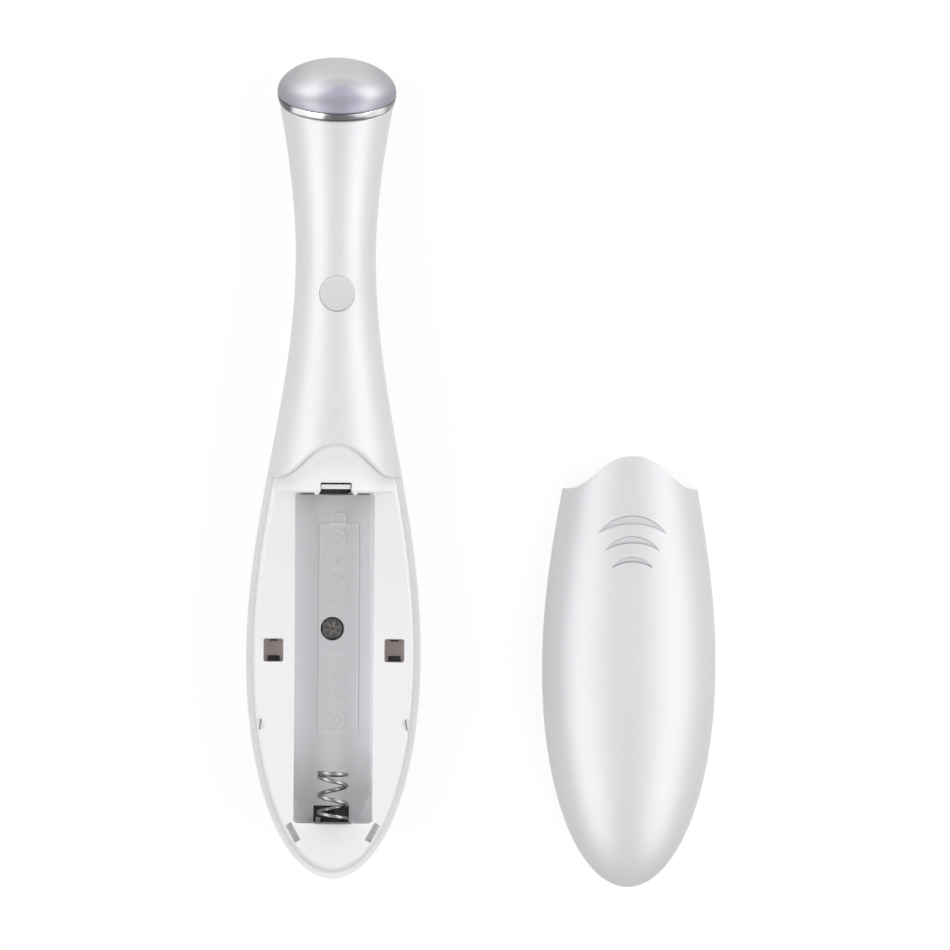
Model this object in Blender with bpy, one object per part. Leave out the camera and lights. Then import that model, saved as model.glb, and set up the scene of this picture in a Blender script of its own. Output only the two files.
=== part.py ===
"""Battery face massager wand with a domed metal head, lying on its back, and its battery cover beside it.

Metres, +Z up. The wand's long axis runs along Y with the head at +Y, and its battery side faces up.
The origin is on the small flat under the handle's widest section, at the height of the table.
"""

import math

import bmesh
import bpy
from mathutils import Matrix, Vector

MM = 0.001

# Fits
GAP = 0.3 * MM  # between pieces that touch
OVERRUN = 4.0 * MM  # how far a cutter passes the wall it cuts

# The wand's outer form, measured from the handle's widest section
HANDLE_WIDTH = 26.4 * MM
COVER_SIDE_DEPTH = 9.6 * MM  # above the parting plane
BACK_SIDE_DEPTH = 10.2 * MM  # below it
BELLY_CUT = 0.25 * MM  # depth of the flat that the wand lies on
BUTT_LENGTH = 33.6 * MM  # widest section to butt end
BUTT_WIDTH_POWER = 2.1
BUTT_DEPTH_POWER = 2.8
NECK_DIAMETER = 12.1 * MM
NECK_AT = 60.7 * MM
BEND_AT = 30.0 * MM  # where the spine starts to sink towards the head
HEAD_AT = 83.6 * MM  # centre of the plane that carries the metal head
HEAD_END_DIAMETER = 17.3 * MM
HEAD_TILT = math.radians(20.5)
HEAD_REST_GAP = 0.1 * MM  # head's back edge above the table
FLARE_POWER = 1.75

# Shells and the seam between the front shell and the cover
SHELL_WALL = 1.1 * MM
COVER_WALL = 1.0 * MM
SEAM_APEX_AT = 31.9 * MM
SEAM_DROP = 4.9 * MM
SEAM_HALF_WIDTH = 9.4 * MM
SEAM_POWER = 1.2
SEAM_STEPS = 12

# Metal head and the collar that holds it
CAP_OVERHANG = 0.4 * MM  # past the wand's open end, all round
CAP_BAND = 1.2 * MM
CAP_DOME = 4.8 * MM
CAP_WALL = 0.6 * MM
COLLAR_WALL = 1.2 * MM
COLLAR_DEPTH = 2.0 * MM
COLLAR_FLANGE = 0.7 * MM

# Battery tray
DECK_HEIGHT = 1.8 * MM  # deck above the parting plane
POCKET_WIDTH = 12.15 * MM
POCKET_TOP_AT = 24.7 * MM
POCKET_BUTT_MARGIN = 8.4 * MM  # pocket's butt end to the wand's
POCKET_FLOOR = 4.6 * MM  # floor below the parting plane
POCKET_CORNER = 0.6 * MM
TRAY_WALL = 1.0 * MM
TONGUE_WALL = 1.2 * MM
TONGUE_LAP = 1.5 * MM  # how far the tongue runs on under the front shell
NOTCH_WIDTH = 4.7 * MM
NOTCH_LENGTH = 1.5 * MM
NOTCH_DEPTH = 2.9 * MM
CATCH_WINDOW = (3.0 * MM, 3.5 * MM)
CATCH_STRIP = 1.15 * MM  # deck left outside the window
CATCH_STRIP_THICKNESS = 0.8 * MM
CATCH_UNDERCUT = 0.7 * MM
CATCH_AT = 0.9 * MM
DETENT_RADIUS = 0.9 * MM
DETENT_AT = 10.3 * MM  # on the butt side
BUTT_SLOT = (0.95 * MM, 2.6 * MM, 1.2 * MM)
BUTT_SLOT_SIDE = 6.0 * MM
BUTT_SLOT_MARGIN = 7.0 * MM  # slot to the wand's butt end
BUTT_SLOT_TURN = math.radians(30)
FLOOR_WINDOW = (5.4 * MM, 2.6 * MM)

# Screw that holds the tray
SCREW_AT = 4.15 * MM
SCREW_HEAD_RADIUS = 1.7 * MM
SCREW_HEAD_HEIGHT = 0.8 * MM
SCREW_SHANK_RADIUS = 0.8 * MM
SCREW_LENGTH = 3.2 * MM
SCREW_PAD_RADIUS = 3.2 * MM
SCREW_PAD_DEPTH = 1.1 * MM
SCREW_DRIVE_WIDTH = 0.45 * MM
SCREW_DRIVE_DEPTH = 0.45 * MM
SCREW_CROWN_SHARE = 0.75
SCREW_DRIVE_SHARE = 0.7
BOSS_RADIUS = 2.2 * MM

# Ribs inside the shells
RIB_THICKNESS = 1.0 * MM
TRAY_RIBS_AT = (-14.0 * MM, 0.0 * MM, 14.0 * MM)
BOARD_RIBS_FROM_END = (3.0 * MM, 13.5 * MM)  # from the board's butt end
MOTOR_RIBS_FROM_END = (2.0 * MM, 6.5 * MM)  # from the motor can's butt end

# Cover
COVER_PLACE = (45.2 * MM, -1.2 * MM)  # where it lies, from its seat
HOOK_THICKNESS = 1.0 * MM
HOOK_WIDTH = 2.6 * MM
HOOK_BARB = 0.8 * MM
HOOK_BARB_HEIGHT = 0.55 * MM
HOOK_CLEARANCE = 0.5 * MM  # hook to the window's outer side
BUTT_TAB_THICKNESS = 0.5 * MM
BUTT_TAB_LENGTH = 2.0 * MM
BUTT_TAB_REACH = 0.8 * MM  # into its slot
GRIP_COUNT = 3
GRIP_HALF_CHORD = 5.2 * MM
GRIP_CHORD_STEP = 1.03 * MM
GRIP_TIPS_AT = 20.0 * MM
GRIP_PITCH = 2.6 * MM
GRIP_OUTER_SHARE = 0.53
GRIP_INNER_SHARE = 0.275
GRIP_DEPTH = 0.35 * MM
GRIP_STEPS = 12

# Power button, switch and board
BUTTON_AT = 54.7 * MM
BUTTON_RADIUS = 2.65 * MM
BUTTON_RISE = 0.3 * MM  # its top above the neck's crown
BUTTON_ROUND = 0.3 * MM
BUTTON_FLANGE_RADIUS = 3.2 * MM
BUTTON_FLANGE_THICKNESS = 0.6 * MM
BUTTON_FLANGE_TOP = 3.4 * MM  # above the spine
BUTTON_STEM_RADIUS = 0.9 * MM
BOARD_BEFORE_BUTTON = 9.7 * MM  # board's butt end to the button's axis
BOARD_SIZE = (6.8 * MM, 15.5 * MM, 1.0 * MM)
BOARD_TOP = 1.6 * MM  # below the spine
SWITCH_SIZE = (4.5 * MM, 4.5 * MM, 2.2 * MM)
PLUNGER_RADIUS = 0.8 * MM
PLUNGER_RISE = 0.9 * MM  # above the switch body
PLUNGER_SEAT = 1.7 * MM  # depth of the plunger's bore
PLUNGER_TRAVEL = 0.4 * MM

# Motor, shaft and eccentric weight
MOTOR_RADIUS = 3.0 * MM
MOTOR_FROM_BOARD = 4.0 * MM  # room for the leads between board and motor
MOTOR_LENGTH = 8.5 * MM
MOTOR_CAP_THICKNESS = 1.0 * MM
MOTOR_CAP_INSET = 0.3 * MM
SHAFT_RADIUS = 0.5 * MM
SHAFT_LENGTH = 5.2 * MM
WEIGHT_RADIUS = 2.7 * MM
WEIGHT_HUB_RADIUS = 1.5 * MM
WEIGHT_LENGTH = 3.8 * MM

# Contacts and spring
SHEET = 0.4 * MM
CONTACT_WIDTH = 10.4 * MM
CONTACT_TOP = 5.0 * MM  # positive plate's top above the parting plane
CONTACT_TAB_WIDTH = 4.0 * MM
CONTACT_TAB_DROP = 2.2 * MM
CONTACT_DIMPLE_RADIUS = 2.2 * MM
CONTACT_DIMPLE_HEIGHT = 0.5 * MM
NEGATIVE_TOP = 1.4 * MM
NEGATIVE_BOTTOM = 2.6 * MM
NEGATIVE_TAIL = (3.0 * MM, 3.4 * MM)
CELL_RADIUS = 5.25 * MM
SPRING_DIAMETER = 4.8 * MM
SPRING_WIRE = 0.7 * MM
SPRING_REACH = 7.8 * MM  # pocket's butt end to the spring's free end
SPRING_TURNS = 3.5
SPRING_POINTS = 9
SPRING_SIDES = 8

# Lead wires
LEAD_RADIUS = 0.45 * MM
LEAD_STEPS = 5
LEAD_SIDES = 12
LEAD_SPREAD = 1.5 * MM  # lead to the board's middle line
LEAD_SIDE = 4.4 * MM  # the long lead beside the screw boss
LEAD_DEPTH = 6.9 * MM  # the long lead below the parting plane
LEAD_SHARES = (0.75, 0.4, 0.5, 0.85)  # where the long lead bends, along the pocket's two halves

# Facets
RING_POINTS = 40
BUTT_RINGS = 7
HANDLE_RINGS = 11
HEAD_RINGS = 7
FACET_ANGLE = 12.0  # degrees of a circle or an arc that one facet takes

PEARL = ((0.80, 0.79, 0.81, 1.0), 0.28, 0.10)
WHITE = ((0.86, 0.86, 0.87, 1.0), 0.40, 0.0)
GREY = ((0.66, 0.65, 0.66, 1.0), 0.45, 0.0)
METAL = ((0.62, 0.63, 0.68, 1.0), 0.22, 1.0)
STEEL = ((0.70, 0.69, 0.67, 1.0), 0.25, 1.0)
DARK_STEEL = ((0.22, 0.21, 0.21, 1.0), 0.35, 1.0)
BOARD_GREEN = ((0.05, 0.24, 0.10, 1.0), 0.50, 0.0)
BLACK = ((0.03, 0.03, 0.03, 1.0), 0.50, 0.0)
LEAD_RED = ((0.55, 0.03, 0.03, 1.0), 0.50, 0.0)

PARTING_Z = BACK_SIDE_DEPTH - BELLY_CUT
NECK_RADIUS = NECK_DIAMETER / 2
CAP_RADIUS = HEAD_END_DIAMETER / 2 + CAP_OVERHANG
HEAD_Z = CAP_RADIUS * math.cos(HEAD_TILT) - GAP * math.sin(HEAD_TILT) + HEAD_REST_GAP
TRAY_INSET = SHELL_WALL + GAP
CEILING_Z = PARTING_Z + 2 * COVER_SIDE_DEPTH
POCKET_END_AT = BUTT_LENGTH - POCKET_BUTT_MARGIN  # on the butt side, as the next two
BUTT_SLOT_AT = BUTT_LENGTH - BUTT_SLOT_MARGIN
SPRING_END_AT = POCKET_END_AT - SPRING_REACH
BOARD_FROM = BUTTON_AT - BOARD_BEFORE_BUTTON
MOTOR_FROM = BOARD_FROM + BOARD_SIZE[1] + MOTOR_FROM_BOARD


def ease(share):
    """Half a cosine wave, from 1 at share 0 down to 0 at share 1, level beyond both."""
    return 0.5 * (1.0 + math.cos(math.pi * min(max(share, 0.0), 1.0)))


def spine_z(y):
    """Height of the line that the wand's sections are drawn round."""
    return HEAD_Z + (PARTING_Z - HEAD_Z) * ease((y - BEND_AT) / (HEAD_AT - BEND_AT))


def section_tilt(y):
    return HEAD_TILT * (1.0 - ease((y - NECK_AT) / (HEAD_AT - NECK_AT)))


def half_sizes(y, inset):
    """Half width, height above the spine and depth below it, of the section at y, drawn in by inset."""
    if y > NECK_AT:
        flare = ((y - NECK_AT) / (HEAD_AT - NECK_AT)) ** FLARE_POWER
        radius = NECK_RADIUS + (HEAD_END_DIAMETER / 2 - NECK_RADIUS) * flare - inset
        return radius, radius, radius
    fullness = ease(y / NECK_AT)
    reach = min(max(-y, 0.0) / (BUTT_LENGTH - inset), 1.0)
    sizes = []
    for size, power in (
        (HANDLE_WIDTH / 2, BUTT_WIDTH_POWER),
        (COVER_SIDE_DEPTH, BUTT_DEPTH_POWER),
        (BACK_SIDE_DEPTH, BUTT_DEPTH_POWER),
    ):
        full = NECK_RADIUS + (size - NECK_RADIUS) * fullness - inset
        sizes.append(full * math.sqrt(1.0 - reach**power))
    return tuple(sizes)


def seam_y(x):
    """The curved seam, seen from above: its apex on the middle line, level shoulders at the sides."""
    share = min(abs(x) / SEAM_HALF_WIDTH, 1.0)
    return SEAM_APEX_AT - SEAM_DROP * (1.0 - ease(share**SEAM_POWER))


def new_object(name, shape, finish=None):
    """An object from a bmesh, shaded smooth, with its own material where it has a finish."""
    bmesh.ops.recalc_face_normals(shape, faces=shape.faces)
    mesh = bpy.data.meshes.new(name)
    shape.to_mesh(mesh)
    shape.free()
    mesh.shade_smooth()
    mesh.set_sharp_from_angle(angle=math.radians(35))
    made = bpy.data.objects.new(name, mesh)
    bpy.context.scene.collection.objects.link(made)
    if finish:
        paint(made, finish)
    return made


def paint(made, finish):
    colour, roughness, metallic = finish
    material = bpy.data.materials.new(made.name)
    material.use_nodes = True
    shader = material.node_tree.nodes["Principled BSDF"]
    shader.inputs["Base Color"].default_value = colour
    shader.inputs["Roughness"].default_value = roughness
    shader.inputs["Metallic"].default_value = metallic
    made.data.materials.append(material)


def carve(target, tool, operation="DIFFERENCE"):
    """Cut, join or intersect the target with a tool that isn't itself part of the model."""
    tool.hide_render = True
    tool.display_type = "WIRE"
    modifier = target.modifiers.new(tool.name, "BOOLEAN")
    modifier.operation = operation
    modifier.solver = "EXACT"
    modifier.object = tool


def bridge(shape, lower, upper):
    """Faces between two rings of vertices, where a ring of one vertex is a pole."""
    count = max(len(lower), len(upper))
    if count == 1:
        return
    for index in range(count):
        after = (index + 1) % count
        if len(lower) == 1:
            shape.faces.new((lower[0], upper[index], upper[after]))
        elif len(upper) == 1:
            shape.faces.new((lower[index], lower[after], upper[0]))
        else:
            shape.faces.new((lower[index], lower[after], upper[after], upper[index]))


def section_ring(y, inset):
    width, top, bottom = half_sizes(y, inset)
    tilt = section_tilt(y)
    centre_z = spine_z(y)
    points = []
    for index in range(RING_POINTS):
        angle = 2.0 * math.pi * index / RING_POINTS
        rise = (top if math.sin(angle) > 0 else bottom) * math.sin(angle)
        out = width * math.cos(angle)
        points.append(Vector((out, y - rise * math.sin(tilt), centre_z + rise * math.cos(tilt))))
    return points


def wand_form(name, inset, past_head=0.0, finish=None):
    """The wand's outer form, drawn in by inset, closed at its butt and at the head plane or past it."""
    butt = BUTT_LENGTH - inset
    stations = [-butt * math.cos(0.5 * math.pi * ring / BUTT_RINGS) for ring in range(1, BUTT_RINGS)]
    stations += [NECK_AT * ring / HANDLE_RINGS for ring in range(HANDLE_RINGS)]
    stations += [NECK_AT + (HEAD_AT - NECK_AT) * ring / HEAD_RINGS for ring in range(HEAD_RINGS + 1)]
    if past_head:
        stations.append(HEAD_AT + past_head)
    shape = bmesh.new()
    rings = [[shape.verts.new((0.0, -butt, PARTING_Z))]]
    for y in stations:
        rings.append([shape.verts.new(point) for point in section_ring(y, inset)])
    for lower, upper in zip(rings, rings[1:]):
        bridge(shape, lower, upper)
    shape.faces.new(rings[-1])
    return new_object(name, shape, finish)


def box(name, low, high, finish=None):
    shape = bmesh.new()
    size = Vector(high) - Vector(low)
    place = Matrix.Translation((Vector(high) + Vector(low)) / 2) @ Matrix.Diagonal((*size, 1.0))
    bmesh.ops.create_cube(shape, size=1.0, matrix=place)
    return new_object(name, shape, finish)


def prism(name, outline, low, high, across="Z", finish=None):
    """An outline drawn out from low to high along one axis. The outline's own axes keep their order."""
    slot = "XYZ".index(across)
    shape = bmesh.new()
    rings = []
    for level in (low, high):
        points = [(*point[:slot], level, *point[slot:]) for point in outline]
        rings.append([shape.verts.new(point) for point in points])
    bridge(shape, rings[0], rings[1])
    for ring in rings:
        shape.faces.new(ring)
    return new_object(name, shape, finish)


def turned(name, profile, closed=False, finish=None):
    """A profile of (radius, height) turned round Z. A closed profile leaves a bore."""
    shape = bmesh.new()
    points = round(360 / FACET_ANGLE)
    rings = []
    for radius, height in profile:
        if radius == 0:
            rings.append([shape.verts.new((0.0, 0.0, height))])
            continue
        turns = [2.0 * math.pi * index / points for index in range(points)]
        rings.append([shape.verts.new((radius * math.cos(a), radius * math.sin(a), height)) for a in turns])
    for lower, upper in zip(rings, rings[1:] + rings[:1] if closed else rings[1:]):
        bridge(shape, lower, upper)
    return new_object(name, shape, finish)


def rod(name, radius, low, high, finish=None):
    """A plain cylinder on Z."""
    return turned(name, [(0, low), (radius, low), (radius, high), (0, high)], finish=finish)


def arc(centre, radii, start, end):
    """Points of an elliptical arc, its angles in degrees."""
    steps = round(abs(end - start) / FACET_ANGLE)
    turns = [math.radians(start + (end - start) * step / steps) for step in range(steps + 1)]
    return [(centre[0] + radii[0] * math.cos(a), centre[1] + radii[1] * math.sin(a)) for a in turns]


def rounded_rectangle(half_x, low_y, high_y, radius):
    outline = arc((half_x - radius, high_y - radius), (radius, radius), 0, 90)
    outline += arc((radius - half_x, high_y - radius), (radius, radius), 90, 180)
    outline += arc((radius - half_x, low_y + radius), (radius, radius), 180, 270)
    outline += arc((half_x - radius, low_y + radius), (radius, radius), 270, 360)
    return outline


def lay_along_y(made, place):
    """Turn a piece made on Z so that its top points to +Y."""
    made.location = place
    made.rotation_euler = (-math.pi / 2, 0.0, 0.0)
    return made


def set_on_head(made, along=0.0):
    """Put a piece made on Z on the head plane, its top pointing out of the wand."""
    made.location = (0.0, HEAD_AT + along * math.cos(HEAD_TILT), HEAD_Z + along * math.sin(HEAD_TILT))
    made.rotation_euler = (HEAD_TILT - math.pi / 2, 0.0, 0.0)
    return made


def parting_tool(name, offset, limit):
    """All between a level and the parting surface, which follows the spine and is moved up by offset."""
    steps = HANDLE_RINGS + HEAD_RINGS
    far_y = HEAD_AT + CAP_RADIUS
    near_y = -BUTT_LENGTH - OVERRUN
    line = [(near_y, PARTING_Z + offset), (BEND_AT, PARTING_Z + offset)]
    for step in range(1, steps + 1):
        y = BEND_AT + (HEAD_AT - BEND_AT) * step / steps
        line.append((y, spine_z(y) + offset))
    line.append((far_y, HEAD_Z + offset))
    line += [(far_y, limit), (near_y, limit)]
    return prism(name, line, -HANDLE_WIDTH, HANDLE_WIDTH, across="X")


def seam_side(name, offset, headward):
    """Everything on the head's or the butt's side of the seam, which is moved headward by offset."""
    xs = [SEAM_HALF_WIDTH * step / SEAM_STEPS for step in range(-SEAM_STEPS, SEAM_STEPS + 1)]
    line = [(x, seam_y(x) + offset) for x in [-HANDLE_WIDTH, *xs, HANDLE_WIDTH]]
    far_y = HEAD_AT + 2 * CAP_RADIUS if headward else -BUTT_LENGTH - OVERRUN
    line += [(HANDLE_WIDTH, far_y), (-HANDLE_WIDTH, far_y)]
    return prism(name, line, -OVERRUN, CEILING_Z)


def motor_place(y):
    """A point on the motor's axis, which lies level at the spine's height under the middle of the can."""
    return Vector((0.0, y, spine_z(MOTOR_FROM + MOTOR_LENGTH / 2)))


def board_level(rise):
    """A height measured from the spine under the button."""
    return spine_z(BUTTON_AT) + rise


def make_cavity():
    """The space inside both shells, less the ribs and the boss that stand in it."""
    cavity = wand_form("cavity", SHELL_WALL, past_head=OVERRUN)
    half = HANDLE_WIDTH / 2
    for index, step in enumerate(MOTOR_RIBS_FROM_END):
        y = MOTOR_FROM + step
        low = (-half, y - RIB_THICKNESS / 2, -OVERRUN)
        high = (half, y + RIB_THICKNESS / 2, PARTING_Z + COVER_SIDE_DEPTH)
        carve(cavity, box(f"motor_rib_{index}", low, high))
    for index, step in enumerate(BOARD_RIBS_FROM_END):
        y = BOARD_FROM + step
        low = (-half, y - RIB_THICKNESS / 2, -OVERRUN)
        high = (half, y + RIB_THICKNESS / 2, board_level(-BOARD_TOP - BOARD_SIZE[2] - GAP))
        carve(cavity, box(f"board_rib_{index}", low, high))
    rib_from = POCKET_WIDTH / 2 + TRAY_WALL + GAP
    for index, y in enumerate(TRAY_RIBS_AT):
        for side in (-1, 1):
            ends = sorted((side * rib_from, side * half))
            low = (ends[0], y - RIB_THICKNESS / 2, -OVERRUN)
            high = (ends[1], y + RIB_THICKNESS / 2, PARTING_Z - GAP / 2)
            carve(cavity, box(f"tray_rib_{index}_{side}", low, high))
    boss_top = PARTING_Z - POCKET_FLOOR - TRAY_WALL - SCREW_PAD_DEPTH - GAP
    boss = rod("boss", BOSS_RADIUS, -OVERRUN, boss_top)
    boss.location.y = SCREW_AT
    carve(cavity, boss)
    return cavity


def make_motor_bore():
    bore = rod("motor_bore", MOTOR_RADIUS + GAP, 0, MOTOR_LENGTH + 2 * MOTOR_CAP_THICKNESS)
    return lay_along_y(bore, motor_place(MOTOR_FROM - MOTOR_CAP_THICKNESS))


def make_back_shell(cavity, motor_bore):
    shell = wand_form("back_shell", 0.0, finish=PEARL)
    carve(shell, parting_tool("above_back", -GAP / 2, CEILING_Z))
    carve(shell, cavity)
    carve(shell, motor_bore)
    reach = HEAD_AT + HEAD_END_DIAMETER
    half = HANDLE_WIDTH / 2
    carve(shell, box("table_cut", (-half, -BUTT_LENGTH, -OVERRUN), (half, reach, 0.0)))
    seat = PARTING_Z - POCKET_FLOOR - SCREW_HEAD_HEIGHT - GAP
    hole_depth = SCREW_LENGTH + GAP
    hole = rod("screw_hole", SCREW_SHANK_RADIUS + GAP, seat - hole_depth, PARTING_Z)
    hole.location.y = SCREW_AT
    carve(shell, hole)


def make_front_shell(cavity, motor_bore):
    shell = wand_form("front_shell", 0.0, finish=PEARL)
    carve(shell, parting_tool("below_front", GAP / 2, -OVERRUN))
    carve(shell, seam_side("butt_side", GAP / 2, headward=False))
    carve(shell, cavity)
    carve(shell, motor_bore)
    hole = rod("button_hole", BUTTON_RADIUS + GAP, board_level(0.0), PARTING_Z + COVER_SIDE_DEPTH)
    hole.location.y = BUTTON_AT
    carve(shell, hole)


def crescent(index):
    """Outline of one grip mark: two arcs that meet in its tips."""
    half = GRIP_HALF_CHORD - GRIP_CHORD_STEP * index
    tips_y = GRIP_TIPS_AT - GRIP_PITCH * index
    points = []
    for share, first, last in ((GRIP_OUTER_SHARE, -1, 1), (GRIP_INNER_SHARE, 1, -1)):
        rise = half * share
        radius = (half * half + rise * rise) / (2 * rise)
        spread = math.asin(half / radius)
        for step in range(GRIP_STEPS):
            turn = spread * (first + (last - first) * step / GRIP_STEPS)
            points.append((radius * math.sin(turn), tips_y + rise - radius * (1 - math.cos(turn))))
    return points


def add_cover_hooks(cover):
    """Two snap hooks for the deck's windows and two locating tabs for the slots at the butt."""
    rim = PARTING_Z + GAP / 2
    edge = half_sizes(CATCH_AT, TRAY_INSET)[0] - CATCH_STRIP - HOOK_CLEARANCE
    under_skin = PARTING_Z + half_sizes(CATCH_AT, COVER_WALL / 2)[1]
    skin = wand_form("cover_skin", COVER_WALL / 2)
    for side in (-1, 1):
        barb = [
            (side * (edge - HOOK_THICKNESS), rim),
            (side * (edge + HOOK_BARB / 2), rim),
            (side * (edge + HOOK_BARB), rim + HOOK_BARB_HEIGHT / 2),
            (side * (edge + HOOK_BARB), rim + HOOK_BARB_HEIGHT),
            (side * edge, rim + HOOK_BARB_HEIGHT),
            (side * edge, under_skin),
            (side * (edge - HOOK_THICKNESS), under_skin),
        ]
        hook = prism(f"hook_{side}", barb, CATCH_AT - HOOK_WIDTH / 2, CATCH_AT + HOOK_WIDTH / 2, across="Y")
        carve(hook, skin, "INTERSECT")
        carve(cover, hook, "UNION")
        low = (-BUTT_TAB_THICKNESS / 2, -BUTT_TAB_LENGTH / 2, PARTING_Z + DECK_HEIGHT - BUTT_TAB_REACH)
        high = (BUTT_TAB_THICKNESS / 2, BUTT_TAB_LENGTH / 2, PARTING_Z + COVER_SIDE_DEPTH)
        tab = box(f"butt_tab_{side}", low, high)
        tab.location = (side * BUTT_SLOT_SIDE, -BUTT_SLOT_AT, 0.0)
        tab.rotation_euler.z = -side * BUTT_SLOT_TURN
        carve(tab, skin, "INTERSECT")
        carve(cover, tab, "UNION")


def make_cover():
    """The battery cover, modelled on its seat and then laid down beside the wand on its rim."""
    others = set(bpy.data.objects)
    cover = wand_form("battery_cover", 0.0, finish=PEARL)
    carve(cover, parting_tool("below_cover", GAP / 2, -OVERRUN))
    carve(cover, seam_side("head_side", -GAP / 2, headward=True))
    carve(cover, wand_form("cover_inside", COVER_WALL))
    core = wand_form("grip_core", GRIP_DEPTH)
    for index in range(GRIP_COUNT):
        mark = prism(f"grip_{index}", crescent(index), PARTING_Z, CEILING_Z)
        carve(mark, core)
        carve(cover, mark)
    add_cover_hooks(cover)
    for tool in set(bpy.data.objects) - others - {cover}:
        tool.parent = cover
    cover.location = (*COVER_PLACE, -PARTING_Z - GAP / 2)


def make_tray():
    """Deck with its pocket, tongue, catch windows, notches and slots, in one moulding."""
    tray = wand_form("battery_tray", TRAY_INSET, finish=WHITE)
    half = POCKET_WIDTH / 2
    floor = PARTING_Z - POCKET_FLOOR
    wide = HANDLE_WIDTH
    under = box("under_deck", (-wide, -BUTT_LENGTH, -OVERRUN), (wide, HEAD_AT, PARTING_Z + GAP / 2))
    walls_low = (-half - TRAY_WALL, -POCKET_END_AT - TRAY_WALL, floor - TRAY_WALL)
    walls_high = (half + TRAY_WALL, POCKET_TOP_AT + TRAY_WALL, PARTING_Z + DECK_HEIGHT)
    carve(under, box("pocket_walls", walls_low, walls_high))
    pad = rod("screw_pad", SCREW_PAD_RADIUS, floor - TRAY_WALL - SCREW_PAD_DEPTH, PARTING_Z)
    pad.location.y = SCREW_AT
    carve(under, pad)
    carve(tray, under)
    step_low = (-wide, -BUTT_LENGTH - OVERRUN, PARTING_Z + DECK_HEIGHT)
    carve(tray, box("deck_step", step_low, (wide, POCKET_TOP_AT, CEILING_Z)))
    carve(tray, seam_side("past_tongue", TONGUE_LAP, headward=True))
    hollow = wand_form("tongue_hollow", TRAY_INSET + TONGUE_WALL)
    behind = (wide, POCKET_TOP_AT + TONGUE_WALL, CEILING_Z)
    carve(hollow, box("behind_end_wall", (-wide, -BUTT_LENGTH - OVERRUN, -OVERRUN), behind))
    carve(tray, hollow)
    pocket_form = wand_form("pocket_limit", TRAY_INSET + TRAY_WALL)
    pocket = prism(
        "pocket",
        rounded_rectangle(half, -POCKET_END_AT, POCKET_TOP_AT, POCKET_CORNER),
        floor,
        PARTING_Z + COVER_SIDE_DEPTH - OVERRUN,
    )
    carve(pocket, pocket_form, "INTERSECT")
    carve(tray, pocket)
    cut_tray_details(tray, floor)


def cut_tray_details(tray, floor):
    deck = PARTING_Z + DECK_HEIGHT
    edge = half_sizes(CATCH_AT, TRAY_INSET)[0] - CATCH_STRIP
    for side in (-1, 1):
        xs = sorted((side * (edge - CATCH_WINDOW[0]), side * edge))
        low_y = CATCH_AT - CATCH_WINDOW[1] / 2
        high_y = CATCH_AT + CATCH_WINDOW[1] / 2
        window_high = (xs[1], high_y, deck + OVERRUN)
        carve(tray, box(f"catch_window_{side}", (xs[0], low_y, PARTING_Z - OVERRUN), window_high))
        xs = sorted((side * (edge - CATCH_UNDERCUT), side * (edge + CATCH_UNDERCUT)))
        under_low = (xs[0], low_y, PARTING_Z - OVERRUN)
        carve(tray, box(f"catch_undercut_{side}", under_low, (xs[1], high_y, deck - CATCH_STRIP_THICKNESS)))
        low_z = PARTING_Z - OVERRUN
        detent = rod(f"detent_{side}", DETENT_RADIUS, low_z, deck + OVERRUN)
        detent.location = (side * half_sizes(-DETENT_AT, TRAY_INSET)[0], -DETENT_AT, 0.0)
        carve(tray, detent)
        slot_low = (-BUTT_SLOT[0] / 2, -BUTT_SLOT[1] / 2, deck - BUTT_SLOT[2])
        slot = box(f"butt_slot_{side}", slot_low, (BUTT_SLOT[0] / 2, BUTT_SLOT[1] / 2, deck + OVERRUN))
        slot.location = (side * BUTT_SLOT_SIDE, -BUTT_SLOT_AT, 0.0)
        slot.rotation_euler.z = -side * BUTT_SLOT_TURN
        carve(tray, slot)
    roof = PARTING_Z + half_sizes(POCKET_TOP_AT, TRAY_INSET)[1]
    notch_low = (-NOTCH_WIDTH / 2, POCKET_TOP_AT - OVERRUN, roof - NOTCH_DEPTH)
    notch_high = (NOTCH_WIDTH / 2, POCKET_TOP_AT + NOTCH_LENGTH, roof + OVERRUN)
    carve(tray, box("contact_notch", notch_low, notch_high))
    window_low = (-FLOOR_WINDOW[0] / 2, -POCKET_END_AT, -OVERRUN)
    window_high = (FLOOR_WINDOW[0] / 2, -POCKET_END_AT + FLOOR_WINDOW[1], PARTING_Z)
    carve(tray, box("floor_window", window_low, window_high))
    seat = floor - SCREW_HEAD_HEIGHT - GAP
    sink = rod("screw_sink", SCREW_HEAD_RADIUS + GAP, seat - GAP, PARTING_Z)
    shank = rod("screw_way", SCREW_SHANK_RADIUS + GAP, seat - OVERRUN, PARTING_Z)
    for cutter in (sink, shank):
        cutter.location.y = SCREW_AT
        carve(tray, cutter)


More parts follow.
